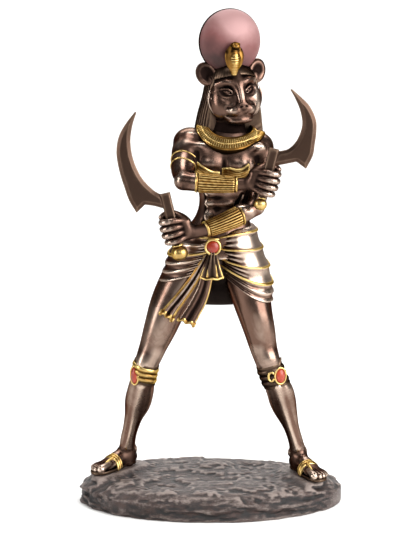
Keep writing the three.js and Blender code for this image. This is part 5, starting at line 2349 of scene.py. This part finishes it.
@dataclass
class Sandals:
    """Thin soles, an instep strap of three gold cords, and the thong between the toes.

    The outline is along and sideways from the heel, the strap along, sideways and up, and the thong
    the same with its radius.
    """

    sole: float = 6.0
    outline: tuple = (
        (-4, 0), (4, 14), (34, 15), (72, 24), (112, 24), (131, 10), (122, -12), (92, -24), (50, -20),
        (6, -14),
    )
    strap: tuple = (
        (66, -23, 6), (66, -19, 17), (66, -10, 24.5), (66, 2, 27.5), (66, 14, 24), (66, 21, 15),
        (66, 23, 5),
    )
    thong: tuple = ((66, 6, 26, 3.2), (88, 9, 22, 3.0), (104, 11, 14, 2.6), (112, 11, 6, 2.4))

    def sole_outline(self, foot: Foot) -> Array:
        """A sole's outline on the ground.

        Args:
            foot: where the foot stands.

        Returns:
            Rows of x and y.
        """
        around = (self.outline[-1], *self.outline, *self.outline[:2])
        spans = len(around) - 1
        closed = smooth_rows(around, np.linspace(1 / spans, (spans - 1) / spans, 61)[:-1])
        return np.array([foot.at(along, side, 0)[:2] for along, side in closed])

    def build(self) -> None:
        """Makes both sandals."""
        for label, foot in (("right", RIGHT_FOOT), ("left", LEFT_FOOT)):
            ring = self.sole_outline(foot)

            def form(points: Array, ring: Array = ring) -> Array:
                """The sole's distance."""
                flat = polygon_distance(points[:, :2], ring)
                return blend_max(flat, np.abs(points[:, 2] - self.sole / 2) - self.sole / 2, 1.5)

            low, high = ring.min(axis=0), ring.max(axis=0)
            sole = Formed((*low, 0), (*high, self.sole), form)
            make_clay(f"sandal_{label}_sole", sole, 1.2, WIG_BRONZE)
            ridge = np.array([foot.at(*place) for place in self.strap])
            forward = np.array(foot.at(1, 0, 0)) - np.array(foot.at(0, 0, 0))
            cords = Clay()
            for step in (-5.0, 0.0, 5.0):
                moved = ridge + (forward * step - np.array([0, 0, step * 0.38]))
                cords.add(Cord(moved, 3.1 if step else 3.6, 18), blend=1.0)
            thong = [[*foot.at(*place), radius] for *place, radius in self.thong]
            cords.add(Cord(thong, count=12), blend=1.5)
            make_clay(f"sandal_{label}_strap", cords, 0.95, GOLD)


@dataclass
class RockBase:
    """The rock base: flaky layers with smooth pads under the feet.

    Shares are of the base's half width and half depth.
    """

    voxel: float = 2.25
    seed: int = 7
    rim_share: float = 0.982
    taper: float = 0.085
    deepest: float = -18.0
    terrace_rise: float = 4.6
    pad: float = -1.1
    low: Array = field(init=False)
    high: Array = field(init=False)
    wide: float = field(init=False)
    deep: float = field(init=False)

    def __post_init__(self) -> None:
        """Reads the base's size from the box of its CAD node."""
        sole = np.array([0.0, 0.0, SOLE_LEVEL / UNIT])
        self.low, self.high = (np.array(corner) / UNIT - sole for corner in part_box("rock_base"))
        self.high[2] = 0.0
        self.wide = min(-self.low[0], self.high[0])
        self.deep = min(-self.low[1], self.high[1])

    def side(self, points: Array) -> Array:
        """Distance to the rock's flaky side, which leans in towards the top.

        Args:
            points: where.

        Returns:
            Distances, negative inside.
        """
        x, y, z = points.T
        floor = self.low[2]
        angle = np.arctan2(y / self.deep, x / self.wide)
        layer = grain(points, (70, 70, 12), self.seed)
        flake = grain(points, (34, 26, 7), self.seed + 1)
        crumb = grain(points, (13, 10, 4), self.seed + 5)
        rise = np.clip((z - floor) / -floor, 0.0, 1.0)
        edge = self.rim_share - self.taper * ease(0.4, 1.0, rise)
        edge = edge + 0.020 * layer + 0.018 * flake + 0.011 * crumb
        edge = edge + 0.010 * np.sin(3 * angle + 1.7) + 0.008 * np.sin(7 * angle - 2.3)
        reach = np.hypot(x / self.wide, y / self.deep)
        return (reach - np.minimum(edge, 0.995)) * np.minimum(self.wide, self.deep) * 0.8

    def top(self, points: Array) -> Array:
        """Height of the rock's terraces, with a pad under each foot.

        Args:
            points: where.

        Returns:
            Heights.
        """
        x, y, _ = points.T
        level = np.zeros_like(x)
        flat = np.column_stack([x, y, level])
        warp = flat + np.column_stack([14.0 * grain(flat, (60, 50, 9), self.seed + 8), level, level])
        broad = grain(warp, (92, 74, 9), self.seed + 2)
        chips = grain(warp + 3.0, (44, 34, 9), self.seed + 3)
        ripple = grain(warp + 9.0, (22, 18, 9), self.seed + 4)
        small = grain(flat, (9, 8, 9), self.seed + 6)
        steps = (broad * 0.7 + chips * 0.6 + ripple * 0.2 + small * 0.12 + 1.5) * 1.3
        terrace = np.floor(steps) + ease(0.45, 1.0, steps - np.floor(steps))
        brink = ease(0.75, 1.0, np.hypot(x / self.wide, y / self.deep)) ** 2
        top = self.deepest + terrace * self.terrace_rise + (1.0 - np.abs(ripple)) + small * 0.5 - 12.0 * brink
        top = np.minimum(top, -1.5)
        for foot in (RIGHT_FOOT, LEFT_FOOT):
            heel, toe = (np.array(foot.at(along, 0, 0)[:2]) for along in (4, 124))
            way = toe - heel
            share = np.clip(((points[:, :2] - heel) @ way) / (way @ way), 0.0, 1.0)
            near = ease(50.0, 27.0, np.linalg.norm(points[:, :2] - heel - share[:, None] * way, axis=1))
            top = top * (1 - near) + near * self.pad
        return top

    def form(self, points: Array) -> Array:
        """The rock's distance.

        Args:
            points: where to measure.

        Returns:
            Distances, negative inside.
        """
        z = points[:, 2]
        upper = blend_max(self.side(points), (z - self.top(points)) * 0.85, 5.0)
        return blend_max(upper, self.low[2] - z, 1.0)

    def build(self) -> None:
        """Makes the base inside the CAD node's box."""
        # The rock's side below the top is painted darker as painted shade
        make_clay("rock", Formed(self.low, self.high, self.form), self.voxel, ROCK, node="rock_base",
                  tone=lambda points: -0.85 * ease(-12.0, -28.0, points[:, 2]) - 0.05)


@dataclass
class Top:
    """The close-fitting top: a broad gold hem under each breast, as lines of x and z."""

    radius: float = 3.6
    drops: tuple = (0.0, 5.0, 10.0, 15.0, 20.0)
    right: tuple = ((-33, 690), (-26, 680), (-10, 669), (4, 662), (18, 660))
    left: tuple = ((28, 668), (42, 669), (56, 666), (70, 669), (80, 677))

    def build(self, torso: Clay) -> None:
        """Makes the hems on the torso's surface.

        Args:
            torso: the trunk that they lie on.
        """
        hems = Clay()
        for line, drop in itertools.product((self.right, self.left), self.drops):
            row = [[x, front_of(torso, x, z - drop), z - drop] for x, z in smooth_line(line, 16)]
            hems.add(Cord(row, self.radius), blend=2.5)
        make_clay("top_hem", hems, 0.95, GOLD, evenly(0.1))


@dataclass
class Studio:
    """Camera, floor and soft lights."""

    focal_pixels: float = 1950.0
    long_side: float = 534.0
    distance: float = 1.1
    elevation: float = 10.0
    aim: float = 0.1352
    sensor_mm: float = 36.0
    floor_half: float = 4.0
    floor_near: float = -3.0
    bend_start: float = 1.2
    bend_radius: float = 0.8
    backdrop: float = 3.0

    def camera(self) -> None:
        """Sets the camera where the photograph was taken from."""
        data = bpy.data.cameras.new("camera")
        data.sensor_width = self.sensor_mm
        data.lens = self.focal_pixels / self.long_side * data.sensor_width
        data.clip_end = 20.0
        camera = bpy.data.objects.new("camera", data)
        angle = math.radians(self.elevation)
        back, up = self.distance * math.cos(angle), self.distance * math.sin(angle)
        camera.location = (0.0, -back, self.aim + up)
        camera.rotation_euler = (math.pi / 2 - angle, 0.0, 0.0)
        bpy.context.scene.collection.objects.link(camera)
        bpy.context.scene.camera = camera

    @staticmethod
    def light(name: str, place: Vector, size: Vector, watts: float, aim: Vector = (0.0, 0.0, 0.14)) -> None:
        """Adds a soft box.

        Args:
            name: the light's name.
            place: where it stands.
            size: its width and height.
            watts: its power.
            aim: the point that it faces.
        """
        data = bpy.data.lights.new(name, "AREA")
        data.shape = "RECTANGLE"
        data.size, data.size_y = size
        data.energy = watts
        lamp = bpy.data.objects.new(name, data)
        lamp.location = place
        way = mathutils.Vector(aim) - mathutils.Vector(place)
        lamp.rotation_euler = way.to_track_quat("-Z", "Y").to_euler()
        bpy.context.scene.collection.objects.link(lamp)

    def floor(self) -> None:
        """Makes a pale floor that curves up into a backdrop."""
        start, bend = self.bend_start, self.bend_radius
        turn = np.linspace(0.1, math.pi / 2, 12)
        profile = [(self.floor_near, 0.0), (start, 0.0)]
        profile += [(start + bend * math.sin(a), bend - bend * math.cos(a)) for a in turn]
        profile += [(start + bend, self.backdrop)]
        points = [(x, y, z) for y, z in profile for x in (-self.floor_half, self.floor_half)]
        faces = [(2 * i, 2 * i + 1, 2 * i + 3, 2 * i + 2) for i in range(len(profile) - 1)]
        mesh = bpy.data.meshes.new("floor")
        mesh.from_pydata(points, [], faces)
        mesh.polygons.foreach_set("use_smooth", [True] * len(faces))
        material = bpy.data.materials.new("pale_paper")
        material.use_nodes = True
        tree = material.node_tree
        tree.nodes.clear()
        shader = add_node(tree, "ShaderNodeBsdfPrincipled", {
            "Base Color": linear("#f2f1ef"), "Roughness": 0.85,
        })
        add_node(tree, "ShaderNodeOutputMaterial", {"Surface": shader.outputs["BSDF"]})
        mesh.materials.append(material)
        floor = bpy.data.objects.new("floor", mesh)
        bpy.context.scene.collection.objects.link(floor)

    def build(self) -> None:
        """Sets the whole studio."""
        self.camera()
        self.floor()
        world = bpy.data.worlds.new("studio")
        world.use_nodes = True
        tree = world.node_tree
        tree.nodes.clear()
        back = add_node(tree, "ShaderNodeBackground", {"Color": linear("#dfe3e8"), "Strength": 0.16})
        add_node(tree, "ShaderNodeOutputWorld", {"Surface": back.outputs["Background"]})
        bpy.context.scene.world = world
        for name, place, size, watts in (
            ("left_strip", (-1.1, -0.5, 0.42), (0.3, 0.9), 8.5),
            ("key", (0.9, -0.6, 0.55), (1.15, 0.9), 27.0),
            ("front_box", (-0.1, -1.3, 0.8), (0.4, 0.4), 2.0),
            ("top", (0.0, -0.1, 1.3), (0.6, 0.3), 6.0),
            ("back", (0.0, 0.75, 1.25), (1.6, 0.5), 12.0),
        ):
            self.light(name, place, size, watts)
        self.light("paper", (0.0, 0.9, 1.5), (2.4, 0.5), 22.0, aim=(0.0, 2.0, 0.5))
        bpy.context.scene.view_settings.view_transform = "Standard"


def main() -> None:
    """Builds the statue and its studio."""
    logging.basicConfig(level=logging.INFO, format="%(message)s")
    Studio().build()
    body = Body()
    torso = body.torso()
    trunk = body.torso().add(body.right_arm(), body.left_arm(), blend=9)
    trunk.keep(Formed((-150, -130, 470), (150, 130, 800), lambda points: 476 - points[:, 2]))
    make_clay("torso", trunk, body.voxel, BRONZE, body.tone)
    for name, rows, side, foot in (
        ("leg_right", RIGHT_LEG, -1, RIGHT_FOOT), ("leg_left", LEFT_LEG, 1, LEFT_FOOT),
    ):
        make_clay(name, body.leg(rows, side, foot), body.leg_voxel, BRONZE,
                  lambda points: -0.5 * ease(44.0, 20.0, points[:, 2]))
    for part in (Head(), Wig(), SunDisc(), Cobra()):
        part.build()
    Collar().build(trunk)
    Top().build(torso)
    for part in (ArmBands(), SKIRT_RIGHT, SKIRT_LEFT, Sash(), Garters(), Sandals()):
        part.build()
    SWORD_LEFT.build(LEFT_FOREARM, 0.58)
    SWORD_RIGHT.build(RIGHT_FOREARM, 0.58)
    RockBase().build()


if __name__ == "__main__":
    main()
